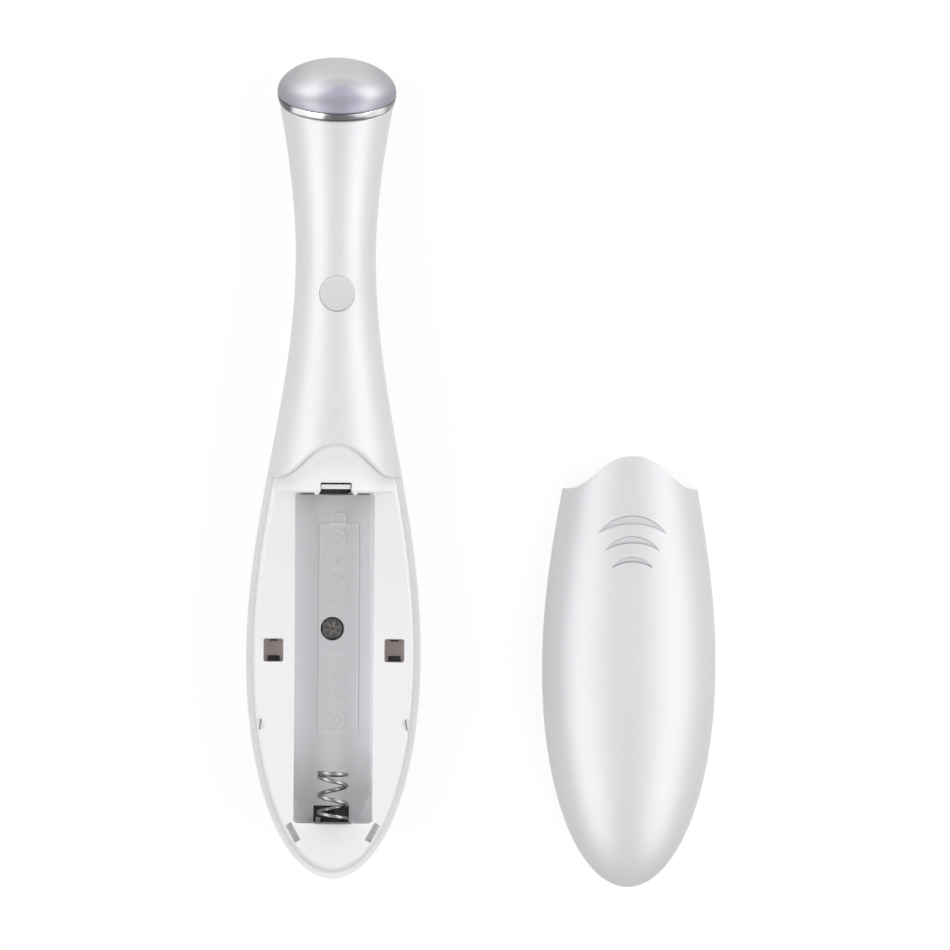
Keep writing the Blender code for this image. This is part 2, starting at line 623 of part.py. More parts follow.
def make_tray_screw():
    """Pan-head screw with a crossed recess, its head just below the pocket's floor."""
    seat = PARTING_Z - POCKET_FLOOR - SCREW_HEAD_HEIGHT - GAP
    top = seat + SCREW_HEAD_HEIGHT
    profile = [
        (0, seat - SCREW_LENGTH + GAP),
        (SCREW_SHANK_RADIUS / 2, seat - SCREW_LENGTH + GAP),
        (SCREW_SHANK_RADIUS, seat - SCREW_LENGTH + GAP + SCREW_SHANK_RADIUS),
        (SCREW_SHANK_RADIUS, seat),
        (SCREW_HEAD_RADIUS, seat),
        (SCREW_HEAD_RADIUS, seat + SCREW_HEAD_HEIGHT / 2),
        (SCREW_HEAD_RADIUS * SCREW_CROWN_SHARE, top),
        (0, top),
    ]
    screw = turned("tray_screw", profile, finish=DARK_STEEL)
    screw.location.y = SCREW_AT
    for turn in (0, 1):
        half = (SCREW_HEAD_RADIUS * SCREW_DRIVE_SHARE, SCREW_DRIVE_WIDTH / 2)
        low = (-half[turn], -half[1 - turn], top - SCREW_DRIVE_DEPTH)
        slot = box(f"drive_{turn}", low, (half[turn], half[1 - turn], top + OVERRUN))
        slot.location.y = SCREW_AT
        carve(screw, slot)


def make_head():
    """Domed metal cap with a straight band, on a plastic collar that plugs into the wand's open end."""
    outer = [(CAP_RADIUS, 0)] + arc((0, CAP_BAND), (CAP_RADIUS, CAP_DOME), 0, 90)
    outer[-1] = (0, CAP_BAND + CAP_DOME)
    inner_radius = CAP_RADIUS - CAP_WALL
    inner = arc((0, CAP_BAND), (inner_radius, CAP_DOME - CAP_WALL), 90, 0)
    inner[0] = (0, CAP_BAND + CAP_DOME - CAP_WALL)
    inner.append((inner_radius, 0))
    set_on_head(turned("head_cap", outer + inner, closed=True, finish=METAL), GAP)
    plug_top = half_sizes(HEAD_AT, SHELL_WALL + GAP)[0] - GAP
    plug_end = half_sizes(HEAD_AT - 2 * COLLAR_DEPTH, SHELL_WALL + GAP)[0] - GAP
    bore = plug_end - COLLAR_WALL
    flange = inner_radius - GAP
    profile = [
        (bore, -COLLAR_DEPTH),
        (plug_end, -COLLAR_DEPTH),
        (plug_top, 0),
        (plug_top, GAP),
        (flange, GAP),
        (flange, GAP + COLLAR_FLANGE),
        (bore, GAP + COLLAR_FLANGE),
    ]
    set_on_head(turned("head_collar", profile, closed=True, finish=WHITE))


def make_button():
    """Round push button with a flange under the shell and a stem down to the switch."""
    crown = half_sizes(BUTTON_AT, 0.0)[1]
    top = crown + BUTTON_RISE
    flange_low = BUTTON_FLANGE_TOP - BUTTON_FLANGE_THICKNESS
    stem_low = switch_top() + PLUNGER_RISE + GAP - board_level(0.0)
    profile = [
        (0, stem_low),
        (BUTTON_STEM_RADIUS, stem_low),
        (BUTTON_STEM_RADIUS, flange_low),
        (BUTTON_FLANGE_RADIUS, flange_low),
        (BUTTON_FLANGE_RADIUS, BUTTON_FLANGE_TOP),
        (BUTTON_RADIUS, BUTTON_FLANGE_TOP),
    ]
    profile += arc((BUTTON_RADIUS - BUTTON_ROUND, top - BUTTON_ROUND), (BUTTON_ROUND, BUTTON_ROUND), 0, 90)
    profile.append((0, top))
    button = turned("power_button", profile, finish=GREY)
    button.location = (0.0, BUTTON_AT, board_level(0.0))


def switch_top():
    return board_level(-BOARD_TOP + GAP + SWITCH_SIZE[2])


def make_board_and_switch():
    width, length, thickness = BOARD_SIZE
    top = board_level(-BOARD_TOP)
    low = (-width / 2, BOARD_FROM, top - thickness)
    box("circuit_board", low, (width / 2, BOARD_FROM + length, top), finish=BOARD_GREEN)
    size = SWITCH_SIZE
    low = (-size[0] / 2, BUTTON_AT - size[1] / 2, top + GAP)
    body = box("switch_body", low, (size[0] / 2, BUTTON_AT + size[1] / 2, switch_top()), finish=BLACK)
    seat_low = switch_top() - PLUNGER_SEAT
    mouth = switch_top() + OVERRUN
    seat = rod("plunger_seat", PLUNGER_RADIUS + GAP, seat_low, mouth)
    seat.location.y = BUTTON_AT
    carve(body, seat)
    plunger_low = PLUNGER_TRAVEL + GAP - PLUNGER_SEAT
    plunger = rod("switch_plunger", PLUNGER_RADIUS, plunger_low, PLUNGER_RISE, finish=STEEL)
    plunger.location = (0.0, BUTTON_AT, switch_top())


def make_motor():
    """Small can motor on the wand's middle line, with a half-round weight on its shaft."""
    can = rod("motor_can", MOTOR_RADIUS, 0, MOTOR_LENGTH, finish=STEEL)
    lay_along_y(can, motor_place(MOTOR_FROM))
    cap_radius = MOTOR_RADIUS - MOTOR_CAP_INSET
    cap = rod("motor_end_cap", cap_radius, 0, MOTOR_CAP_THICKNESS, finish=BLACK)
    lay_along_y(cap, motor_place(MOTOR_FROM - GAP - MOTOR_CAP_THICKNESS))
    shaft_from = MOTOR_FROM + MOTOR_LENGTH + GAP
    shaft = rod("motor_shaft", SHAFT_RADIUS, 0, SHAFT_LENGTH, finish=STEEL)
    lay_along_y(shaft, motor_place(shaft_from))
    bore = SHAFT_RADIUS + GAP
    weight = [
        (bore, 0),
        (WEIGHT_RADIUS, 0),
        (WEIGHT_RADIUS, WEIGHT_LENGTH),
        (bore, WEIGHT_LENGTH),
    ]
    made = turned("eccentric_weight", weight, closed=True, finish=DARK_STEEL)
    lay_along_y(made, motor_place(shaft_from + GAP))
    wide = 2 * WEIGHT_RADIUS
    lightening = box("weight_cut", (-wide, -wide, -WEIGHT_LENGTH), (wide, 0.0, 2 * WEIGHT_LENGTH))
    hub = rod("weight_hub", WEIGHT_HUB_RADIUS, -2 * WEIGHT_LENGTH, 3 * WEIGHT_LENGTH)
    carve(lightening, hub)
    lay_along_y(lightening, made.location)
    lay_along_y(hub, made.location)
    carve(made, lightening)


def make_contacts():
    """Positive plate folded over the end wall, negative plate with a tail, and the coil spring on it."""
    half = CONTACT_WIDTH / 2
    plate_y = POCKET_TOP_AT - GAP
    top = PARTING_Z + CONTACT_TOP
    bottom = PARTING_Z - POCKET_FLOOR + GAP
    plate = box("positive_contact", (-half, plate_y - SHEET, bottom), (half, plate_y, top), finish=STEEL)
    tab_end = POCKET_TOP_AT + TONGUE_WALL + GAP + SHEET
    fold = [
        (plate_y - SHEET, top - 2 * SHEET),
        (plate_y, top - 2 * SHEET),
        (plate_y, top),
        (tab_end - SHEET, top),
        (tab_end - SHEET, top - CONTACT_TAB_DROP),
        (tab_end, top - CONTACT_TAB_DROP),
        (tab_end, top + SHEET),
        (plate_y - SHEET, top + SHEET),
    ]
    tab_half = CONTACT_TAB_WIDTH / 2
    carve(plate, prism("contact_fold", fold, -tab_half, tab_half, across="X"), "UNION")
    profile = [
        (0, -SHEET / 2),
        (CONTACT_DIMPLE_RADIUS, -SHEET / 2),
        (CONTACT_DIMPLE_RADIUS / 2, CONTACT_DIMPLE_HEIGHT),
        (0, CONTACT_DIMPLE_HEIGHT),
    ]
    dimple = turned("contact_dimple", profile)
    dimple.location = (0.0, plate_y - SHEET, cell_axis_z())
    dimple.rotation_euler = (math.pi / 2, 0.0, 0.0)
    carve(plate, dimple, "UNION")
    near_y = GAP - POCKET_END_AT
    negative_low = (-half, near_y, PARTING_Z - NEGATIVE_BOTTOM)
    negative_high = (half, near_y + SHEET, PARTING_Z + NEGATIVE_TOP)
    negative = box("negative_contact", negative_low, negative_high, finish=STEEL)
    tail_low = (-NEGATIVE_TAIL[0] / 2, near_y, PARTING_Z - NEGATIVE_BOTTOM - NEGATIVE_TAIL[1])
    tail_high = (NEGATIVE_TAIL[0] / 2, near_y + SHEET, PARTING_Z - SHEET)
    carve(negative, box("negative_tail", tail_low, tail_high), "UNION")
    make_spring(near_y + SHEET + GAP)


def cell_axis_z():
    return PARTING_Z - POCKET_FLOOR + CELL_RADIUS


def make_spring(from_y):
    """Coil spring on the cell's axis: one unbroken wire, its least gap to itself measured on its points."""
    radius = (SPRING_DIAMETER - SPRING_WIRE) / 2
    start = from_y + SPRING_WIRE / 2
    length = -SPRING_END_AT - SPRING_WIRE / 2 - start
    count = round(SPRING_TURNS * SPRING_POINTS)
    points = []
    for index in range(count + 1):
        turn = 2.0 * math.pi * index / SPRING_POINTS
        y = start + length * index / count
        points.append(Vector((radius * math.sin(turn), y, cell_axis_z() - radius * math.cos(turn))))
    gaps = [
        (points[a] - points[b]).length - SPRING_WIRE
        for a in range(len(points))
        for b in range(a + SPRING_POINTS // 2, len(points))
    ]
    print(f"contact spring: least gap to itself {min(gaps) / MM:.2f} mm")
    wire("contact_spring", points, SPRING_WIRE / 2, SPRING_SIDES, STEEL)


def wire(name, points, radius, sides, finish):
    """A round wire along points, its ends filled."""
    curve = bpy.data.curves.new(name, "CURVE")
    curve.dimensions = "3D"
    curve.bevel_depth = radius
    curve.bevel_resolution = round(sides / 4) - 1
    curve.use_fill_caps = True
    spline = curve.splines.new("POLY")
    spline.points.add(len(points) - 1)
    for target, point in zip(spline.points, points):
        target.co = (*point, 1.0)
    made = bpy.data.objects.new(name, curve)
    bpy.context.scene.collection.objects.link(made)
    paint(made, finish)


def smooth_route(points):
    """Points read from a smooth curve through the route's own points."""
    route = [Vector(point) for point in points]
    padded = [2 * route[0] - route[1], *route, 2 * route[-1] - route[-2]]
    found = []
    for a, b, c, d in zip(padded, padded[1:], padded[2:], padded[3:]):
        for step in range(LEAD_STEPS):
            t = step / LEAD_STEPS
            bend = (2 * a - 5 * b + 4 * c - d) * t**2
            twist = (3 * b - a - 3 * c + d) * t**3
            found.append(0.5 * (2 * b + (c - a) * t + bend + twist))
    return [*found, route[-1]]


def make_leads():
    """Two leads from the contacts to the board and two from the board to the motor."""
    clear = LEAD_RADIUS + GAP
    board_y = BOARD_FROM - GAP
    board_z = board_level(-BOARD_TOP - BOARD_SIZE[2] / 2)
    tab_y = POCKET_TOP_AT + TONGUE_WALL + GAP + SHEET + GAP
    tab_z = PARTING_Z + CONTACT_TOP - CONTACT_TAB_DROP + LEAD_RADIUS
    span = board_y - tab_y
    positive = [
        (0.0, tab_y, tab_z),
        (0.0, tab_y + span / 4, tab_z - LEAD_RADIUS),
        (-LEAD_SPREAD / 2, tab_y + span / 2, (tab_z + board_z) / 2),
        (-LEAD_SPREAD, board_y - span / 5, board_z),
        (-LEAD_SPREAD, board_y, board_z),
    ]
    wire("lead_positive", smooth_route(positive), LEAD_RADIUS, LEAD_SIDES, LEAD_RED)
    deep = PARTING_Z - LEAD_DEPTH
    tail_y = GAP - POCKET_END_AT + SHEET + GAP
    tail_z = PARTING_Z - NEGATIVE_BOTTOM - NEGATIVE_TAIL[1] + LEAD_RADIUS
    negative = [
        (0.0, tail_y, tail_z),
        (0.0, tail_y + 2 * clear, tail_z - 2 * LEAD_RADIUS),
        (LEAD_SIDE / 4, -POCKET_END_AT * LEAD_SHARES[0], deep),
        (LEAD_SIDE, -POCKET_END_AT * LEAD_SHARES[1], deep),
        (LEAD_SIDE, SCREW_AT, deep),
        (LEAD_SIDE, POCKET_TOP_AT * LEAD_SHARES[2], deep),
        (LEAD_SPREAD, POCKET_TOP_AT * LEAD_SHARES[3], deep + LEAD_RADIUS / 2),
        (LEAD_SPREAD, tab_y, deep + LEAD_RADIUS),
        (LEAD_SPREAD, (tab_y + board_y) / 2, (deep + board_z) / 2),
        (LEAD_SPREAD, board_y - span / 5, board_z),
        (LEAD_SPREAD, board_y, board_z),
    ]
    wire("lead_negative", smooth_route(negative), LEAD_RADIUS, LEAD_SIDES, BLACK)
    from_y = BOARD_FROM + BOARD_SIZE[1] + GAP
    motor_z = motor_place(0.0).z
    end_y = MOTOR_FROM - MOTOR_CAP_THICKNESS - 2 * GAP
    for side, name, finish in ((-1, "motor_lead_left", LEAD_RED), (1, "motor_lead_right", BLACK)):
        x = side * LEAD_SPREAD
        route = [(x, from_y, board_z), (x, end_y, motor_z)]
        wire(name, [Vector(point) for point in route], LEAD_RADIUS, LEAD_SIDES, finish)


def main():
    for found in list(bpy.data.objects):
        bpy.data.objects.remove(found)
    cavity = make_cavity()
    motor_bore = make_motor_bore()
    make_back_shell(cavity, motor_bore)
    make_front_shell(cavity, motor_bore)
    make_cover()
    make_tray()
    make_tray_screw()
    make_head()
    make_button()
    make_board_and_switch()
    make_motor()
    make_contacts()
    make_leads()


main()
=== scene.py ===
# %% [markdown]
# # A battery face massager wand, taken apart on a white table
# The object is a slim vibrating wand with a domed metal head. It lies on its back with the battery
# compartment open, and its cover lies beside it. This notebook loads the engineered solids as a
# frame and builds the fine visible surfaces round them, piece by piece.

# %% Load the frame
import math

import bmesh
import bpy
from mathutils import Matrix, Vector


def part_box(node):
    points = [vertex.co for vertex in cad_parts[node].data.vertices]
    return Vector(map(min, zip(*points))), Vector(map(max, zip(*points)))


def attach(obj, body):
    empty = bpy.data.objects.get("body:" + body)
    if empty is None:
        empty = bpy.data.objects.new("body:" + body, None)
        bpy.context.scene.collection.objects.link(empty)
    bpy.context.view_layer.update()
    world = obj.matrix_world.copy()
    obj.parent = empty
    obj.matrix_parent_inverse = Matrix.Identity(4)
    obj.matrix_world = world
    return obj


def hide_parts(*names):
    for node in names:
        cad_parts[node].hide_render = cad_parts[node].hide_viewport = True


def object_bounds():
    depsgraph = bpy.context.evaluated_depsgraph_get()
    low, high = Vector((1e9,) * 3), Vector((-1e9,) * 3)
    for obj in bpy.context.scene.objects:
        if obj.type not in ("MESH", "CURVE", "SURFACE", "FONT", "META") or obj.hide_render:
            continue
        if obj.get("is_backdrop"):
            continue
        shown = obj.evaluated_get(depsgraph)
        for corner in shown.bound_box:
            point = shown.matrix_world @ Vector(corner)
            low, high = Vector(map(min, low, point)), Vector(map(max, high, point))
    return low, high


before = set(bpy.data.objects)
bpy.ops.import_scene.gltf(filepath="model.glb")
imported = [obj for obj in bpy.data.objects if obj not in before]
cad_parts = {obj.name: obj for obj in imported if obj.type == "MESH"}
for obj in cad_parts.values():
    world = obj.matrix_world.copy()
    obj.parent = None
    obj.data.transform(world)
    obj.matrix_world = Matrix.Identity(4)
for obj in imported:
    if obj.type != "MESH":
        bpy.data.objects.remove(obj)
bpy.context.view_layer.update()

# %% [markdown]
# ## Sizes
# Every surface follows the same sizes as the solids: the handle's widest section, its neck, and the
# plane that carries the head. They are lengths in metres, written in millimetres for reading.

# %% Sizes of the outer form
MM = 0.001
GAP = 0.3 * MM
HANDLE_WIDTH = 26.37 * MM
COVER_SIDE_DEPTH = 9.6 * MM
BACK_SIDE_DEPTH = 10.2 * MM
BELLY_CUT = 0.25 * MM
BUTT_LENGTH = 33.6 * MM
BUTT_WIDTH_POWER = 2.1
BUTT_DEPTH_POWER = 2.8
NECK_RADIUS = 6.05 * MM
NECK_AT = 60.7 * MM
BEND_AT = 30.0 * MM
HEAD_AT = 83.6 * MM
HEAD_END_RADIUS = 8.65 * MM
HEAD_TILT = math.radians(20.5)
FLARE_POWER = 1.75
SHELL_WALL = 1.1 * MM
COVER_WALL = 1.0 * MM
SEAM_APEX_AT = 31.9 * MM
SEAM_DROP = 4.9 * MM
SEAM_HALF_WIDTH = 9.4 * MM
SEAM_POWER = 1.2
PARTING_Z = BACK_SIDE_DEPTH - BELLY_CUT
CAP_RADIUS = HEAD_END_RADIUS + 0.34 * MM
HEAD_Z = CAP_RADIUS * math.cos(HEAD_TILT) - GAP * math.sin(HEAD_TILT) + 0.1 * MM
print(f"parting plane {PARTING_Z / MM:.2f} mm up, head centre {HEAD_Z / MM:.2f} mm up")

# %% [markdown]
# ## The form as a function
# The real shells come from one smooth master shape. Here that shape is a function: give it a station
# along the wand and a turn round it, and it returns the point on the skin. Drawing every visible
# shell from one function keeps their seams true to each other.


# %% The outer form
def ease(share):
    """Half a cosine wave, from 1 down to 0."""
    return 0.5 * (1.0 + math.cos(math.pi * min(max(share, 0.0), 1.0)))


def spine_z(y):
    """Height of the line that the sections are drawn round."""
    return HEAD_Z + (PARTING_Z - HEAD_Z) * ease((y - BEND_AT) / (HEAD_AT - BEND_AT))


def half_sizes(y, inset=0.0):
    """Half width, height above the spine and depth below it, at a station."""
    if y > NECK_AT:
        flare = ((y - NECK_AT) / (HEAD_AT - NECK_AT)) ** FLARE_POWER
        radius = NECK_RADIUS + (HEAD_END_RADIUS - NECK_RADIUS) * flare - inset
        return radius, radius, radius
    fullness = ease(y / NECK_AT)
    reach = min(max(-y, 0.0) / (BUTT_LENGTH - inset), 1.0)
    widths = (HANDLE_WIDTH / 2, COVER_SIDE_DEPTH, BACK_SIDE_DEPTH)
    powers = (BUTT_WIDTH_POWER, BUTT_DEPTH_POWER, BUTT_DEPTH_POWER)
    full = [NECK_RADIUS + (width - NECK_RADIUS) * fullness - inset for width in widths]
    return tuple(size * math.sqrt(1.0 - reach**power) for size, power in zip(full, powers))


def skin_point(y, turn, inset=0.0):
    """A point of the skin: turn 0 is the +X side and a quarter turn is the top."""
    width, top, bottom = half_sizes(y, inset)
    tilt = HEAD_TILT * (1.0 - ease((y - NECK_AT) / (HEAD_AT - NECK_AT)))
    rise = (top if math.sin(turn) > 0 else bottom) * math.sin(turn)
    return Vector((width * math.cos(turn), y - rise * math.sin(tilt), spine_z(y) + rise * math.cos(tilt)))


def seam_y(x):
    """The curved seam between the front shell and the battery side, seen from above."""
    share = min(abs(x) / SEAM_HALF_WIDTH, 1.0)
    return SEAM_APEX_AT - SEAM_DROP * (1.0 - ease(share**SEAM_POWER))


def seam_station(turn):
    """The station at which the skin meets the seam, for one turn."""
    y = SEAM_APEX_AT
    for _ in range(4):
        y = seam_y(skin_point(y, turn).x)
    return y


print("seam at the middle and at the side, mm:", seam_station(math.pi / 2) / MM, seam_station(0.0) / MM)

# %% [markdown]
# ## Helpers for meshes
# A sheet starts as a flat grid from `create_grid`, and each of its points is then moved onto the
# form. A turned piece starts as a short profile that `spin` sweeps round. Cuts are Boolean
# modifiers that are baked into the mesh at once, so that no cutter stays in the scene.

# %% Mesh helpers
CREASE = 38
MERGE = 0.001 * MM


def keep(name, shape, body, material=None, crease=CREASE):
    """Turn a bmesh into an object that rides on a body of the frame."""
    mesh = bpy.data.meshes.new(name)
    shape.to_mesh(mesh)
    shape.free()
    mesh.shade_smooth()
    mesh.set_sharp_from_angle(angle=math.radians(crease))
    made = bpy.data.objects.new(name, mesh)
    bpy.context.scene.collection.objects.link(made)
    if material:
        mesh.materials.append(material)
    if body:
        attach(made, body)
    return made


def sheet_of(columns, rows, place):
    """A grid of quads whose points are moved by place(across, along), both from 0 to 1."""
    shape = bmesh.new()
    bmesh.ops.create_grid(shape, x_segments=columns, y_segments=rows, size=0.5)
    for vert in shape.verts:
        vert.co = place(vert.co.x + 0.5, vert.co.y + 0.5)
    bmesh.ops.remove_doubles(shape, verts=shape.verts, dist=MERGE)
    return shape


def spun(profile, steps=96):
    """A closed profile of (radius, height) swept once round Z. Points on the axis make a pole."""
    shape = bmesh.new()
    verts = [shape.verts.new((radius, 0.0, height)) for radius, height in profile]
    edges = [shape.edges.new(pair) for pair in zip(verts, verts[1:])]
    if profile[0][0] > 0.0:
        edges.append(shape.edges.new((verts[-1], verts[0])))
    full = 2 * math.pi
    bmesh.ops.spin(
        shape, geom=verts + edges, cent=(0, 0, 0), axis=(0, 0, 1), angle=full, steps=steps, use_merge=True
    )
    bmesh.ops.remove_doubles(shape, verts=shape.verts, dist=MERGE)
    bmesh.ops.recalc_face_normals(shape, faces=shape.faces)
    return shape


def plug(radius, low, high):
    """An upright round bar from one height to another."""
    return spun([(0.0, low), (radius, low), (radius, high), (0.0, high)], 72)


def curve_of(centre, radii, start, end, steps):
    """Points of an elliptical arc, angles in degrees."""
    turns = [math.radians(start + (end - start) * step / steps) for step in range(steps + 1)]
    return [(centre[0] + radii[0] * math.cos(a), centre[1] + radii[1] * math.sin(a)) for a in turns]


def block(low, high):
    """A plain box, used as a cutter or as a start."""
    shape = bmesh.new()
    size = Vector(high) - Vector(low)
    place = Matrix.Translation((Vector(high) + Vector(low)) / 2) @ Matrix.Diagonal((*size, 1.0))
    bmesh.ops.create_cube(shape, size=1.0, matrix=place)
    return shape


def raised(shape, height):
    """Flat faces extruded upwards into a solid."""
    lifted = bmesh.ops.extrude_face_region(shape, geom=list(shape.faces), use_keep_orig=True)
    moved = [part for part in lifted["geom"] if isinstance(part, bmesh.types.BMVert)]
    bmesh.ops.translate(shape, verts=moved, vec=(0, 0, height))
    bmesh.ops.recalc_face_normals(shape, faces=shape.faces)
    return shape


print("edges sharper than", CREASE, "degrees stay crisp")

# %% Modifiers that are baked
FLAT_WEIGHT = 80
RIM_STEPS = 3
RIM_ANGLE = math.radians(50)


def bake(piece):
    """Bake a piece's modifiers into its mesh."""
    graph = bpy.context.evaluated_depsgraph_get()
    baked = bpy.data.meshes.new_from_object(piece.evaluated_get(graph))
    piece.modifiers.clear()
    piece.data = baked


def split_large_faces(piece):
    """Split faces of more than four corners into triangles, so that a Boolean reads them exactly."""
    shape = bmesh.new()
    shape.from_mesh(piece.data)
    bmesh.ops.triangulate(shape, faces=[face for face in shape.faces if len(face.verts) > 4])
    shape.to_mesh(piece.data)
    shape.free()


def cut(piece, shape, operation="DIFFERENCE"):
    """Cut, join or intersect a piece with a bmesh, and bake the result into its mesh."""
    tool = keep("cutter", shape, None)
    split_large_faces(tool)
    split_large_faces(piece)
    modifier = piece.modifiers.new("cut", "BOOLEAN")
    modifier.operation = operation
    modifier.solver = "EXACT"
    modifier.object = tool
    bake(piece)
    bpy.data.objects.remove(tool)
    piece.data.shade_smooth()
    piece.data.set_sharp_from_angle(angle=math.radians(CREASE))


def even_shading(piece):
    """Let large flat faces keep their own direction beside small rounded edges."""
    modifier = piece.modifiers.new("even_shading", "WEIGHTED_NORMAL")
    modifier.keep_sharp = True
    modifier.weight = FLAT_WEIGHT


def thicken(piece, wall, edge_round):
    """Give a sheet its wall, inwards, and round the wall's rim. The lacquer stays on the outside."""
    piece.data.materials.append(white)
    wall_modifier = piece.modifiers.new("wall", "SOLIDIFY")
    wall_modifier.thickness = wall
    wall_modifier.offset = -1.0
    wall_modifier.use_even_offset = True
    wall_modifier.material_offset = 1
    wall_modifier.material_offset_rim = 1
    rim = piece.modifiers.new("rim", "BEVEL")
    rim.width = edge_round
    rim.segments = RIM_STEPS
    rim.limit_method = "ANGLE"
    rim.angle_limit = RIM_ANGLE


print("helpers: bake, split_large_faces, cut, even_shading, thicken")

# %% [markdown]
# ## Finishes
# Moulded plastic is never one flat colour: it has a faint texture from the tool, slow changes of
# tone where the melt flowed, and a lacquered shell has fine flakes under its gloss. Each of these is
# a small node group, so that every finish can use it with its own values.


# %% Node group helpers
def new_group(name, inputs, outputs):
    """An empty shader node group with float inputs and the named outputs."""
    group = bpy.data.node_groups.new(name, "ShaderNodeTree")
    for label, value in inputs.items():
        socket = group.interface.new_socket(label, in_out="INPUT", socket_type="NodeSocketFloat")
        socket.default_value = value
    for label in outputs:
        group.interface.new_socket(label, in_out="OUTPUT", socket_type="NodeSocketFloat")
    return group, group.nodes.new("NodeGroupInput"), group.nodes.new("NodeGroupOutput")


def object_place(tree):
    """Where a point of the surface lies on its own object."""
    return tree.nodes.new("ShaderNodeTexCoord").outputs["Object"]


def feed(tree, socket, value):
    """Give a socket another socket or a plain number."""
    if isinstance(value, bpy.types.NodeSocket):
        tree.links.new(value, socket)
    else:
        socket.default_value = value


def maths(tree, operation, first, second):
    """A Math node whose two inputs are sockets or numbers."""
    node = tree.nodes.new("ShaderNodeMath")
    node.operation = operation
    feed(tree, node.inputs[0], first)
    feed(tree, node.inputs[1], second)
    return node.outputs[0]


def noise(tree, vector, scale, detail):
    """A noise texture read at a place, its scale a socket or a number."""
    node = tree.nodes.new("ShaderNodeTexNoise")
    tree.links.new(vector, node.inputs["Vector"])
    node.inputs["Detail"].default_value = detail
    feed(tree, node.inputs["Scale"], scale)
    return node.outputs["Fac"]


print("helpers: new_group, object_place, feed, maths, noise")

# %% Moulded grain and slow tone
grain, given, wanted = new_group("moulded_grain", {"Fineness": 6000.0, "Slow": 90.0}, ["Height", "Tone"])
place = object_place(grain)
fine = noise(grain, place, given.outputs["Fineness"], 3.0)
slow = noise(grain, place, given.outputs["Slow"], 1.0)
tone = maths(grain, "ADD", maths(grain, "MULTIPLY", slow, 0.8), maths(grain, "MULTIPLY", fine, 0.2))
grain.links.new(fine, wanted.inputs["Height"])
grain.links.new(tone, wanted.inputs["Tone"])
print("group:", grain.name)

# %% Pearl flakes
flakes, given, wanted = new_group("pearl_flakes", {"Flakes": 9000.0}, ["Glint"])
cells = flakes.nodes.new("ShaderNodeTexVoronoi")
flakes.links.new(object_place(flakes), cells.inputs["Vector"])
flakes.links.new(given.outputs["Flakes"], cells.inputs["Scale"])
bright = flakes.nodes.new("ShaderNodeSeparateColor")
flakes.links.new(cells.outputs["Color"], bright.inputs["Color"])
flakes.links.new(bright.outputs["Red"], wanted.inputs["Glint"])
print("group:", flakes.name)

# %% Handling marks on metal
marks, given, wanted = new_group("fine_scratches", {"Along": 900.0, "Across": 14000.0}, ["Streak", "Cloud"])
place = object_place(marks)
scales = marks.nodes.new("ShaderNodeCombineXYZ")
for axis, label in (("X", "Along"), ("Y", "Across"), ("Z", "Across")):
    marks.links.new(given.outputs[label], scales.inputs[axis])
stretch = marks.nodes.new("ShaderNodeVectorMath")
stretch.operation = "MULTIPLY"
marks.links.new(place, stretch.inputs[0])
marks.links.new(scales.outputs[0], stretch.inputs[1])
marks.links.new(noise(marks, stretch.outputs[0], 1.0, 3.0), wanted.inputs["Streak"])
marks.links.new(noise(marks, place, 260.0, 2.0), wanted.inputs["Cloud"])
print("group:", marks.name)


# %% Finish helpers
def new_finish(name, roughness, metallic=0.0, coat=0.0, coat_roughness=0.2):
    """A material with its Principled shader, its plain numbers set on the shader itself."""
    material = bpy.data.materials.new(name)
    material.use_nodes = True
    shader = material.node_tree.nodes["Principled BSDF"]
    shader.inputs["Roughness"].default_value = roughness
    shader.inputs["Metallic"].default_value = metallic
    shader.inputs["Coat Weight"].default_value = coat
    shader.inputs["Coat Roughness"].default_value = coat_roughness
    return material, material.node_tree, shader


def use_group(tree, group, **values):
    """A group placed in a material, with its own values."""
    node = tree.nodes.new("ShaderNodeGroup")
    node.node_tree = group
    for label, value in values.items():
        node.inputs[label].default_value = value
    return node


def colour_between(tree, mask, dark, light):
    """A colour that runs from dark to light with a mask."""
    node = tree.nodes.new("ShaderNodeMix")
    node.data_type = "RGBA"
    tree.links.new(mask, node.inputs["Factor"])
    node.inputs["A"].default_value = (*dark, 1.0)
    node.inputs["B"].default_value = (*light, 1.0)
    return node.outputs["Result"]


def value_between(tree, mask, low, high):
    """A number that runs from low to high with a mask."""
    node = tree.nodes.new("ShaderNodeMapRange")
    tree.links.new(mask, node.inputs["Value"])
    node.inputs["To Min"].default_value = low
    node.inputs["To Max"].default_value = high
    return node.outputs["Result"]


def bump(tree, shader, height, strength, depth):
    """Fine relief too small to model, as height over a depth in metres."""
    node = tree.nodes.new("ShaderNodeBump")
    node.inputs["Strength"].default_value = strength
    node.inputs["Distance"].default_value = depth
    tree.links.new(height, node.inputs["Height"])
    tree.links.new(node.outputs["Normal"], shader.inputs["Normal"])


print("helpers: new_finish, use_group, colour_between, value_between, bump")


# %% Makers of plastic and metal
def plastic(name, dark, light, rough, fineness, depth):
    """Moulded plastic: slow tone, fine grain, a slightly uneven gloss."""
    material, tree, shader = new_finish(name, rough[0])
    texture = use_group(tree, grain, Fineness=fineness)
    tree.links.new(colour_between(tree, texture.outputs["Tone"], dark, light), shader.inputs["Base Color"])
    tree.links.new(value_between(tree, texture.outputs["Height"], *rough), shader.inputs["Roughness"])
    bump(tree, shader, texture.outputs["Height"], 0.5, depth)
    return material


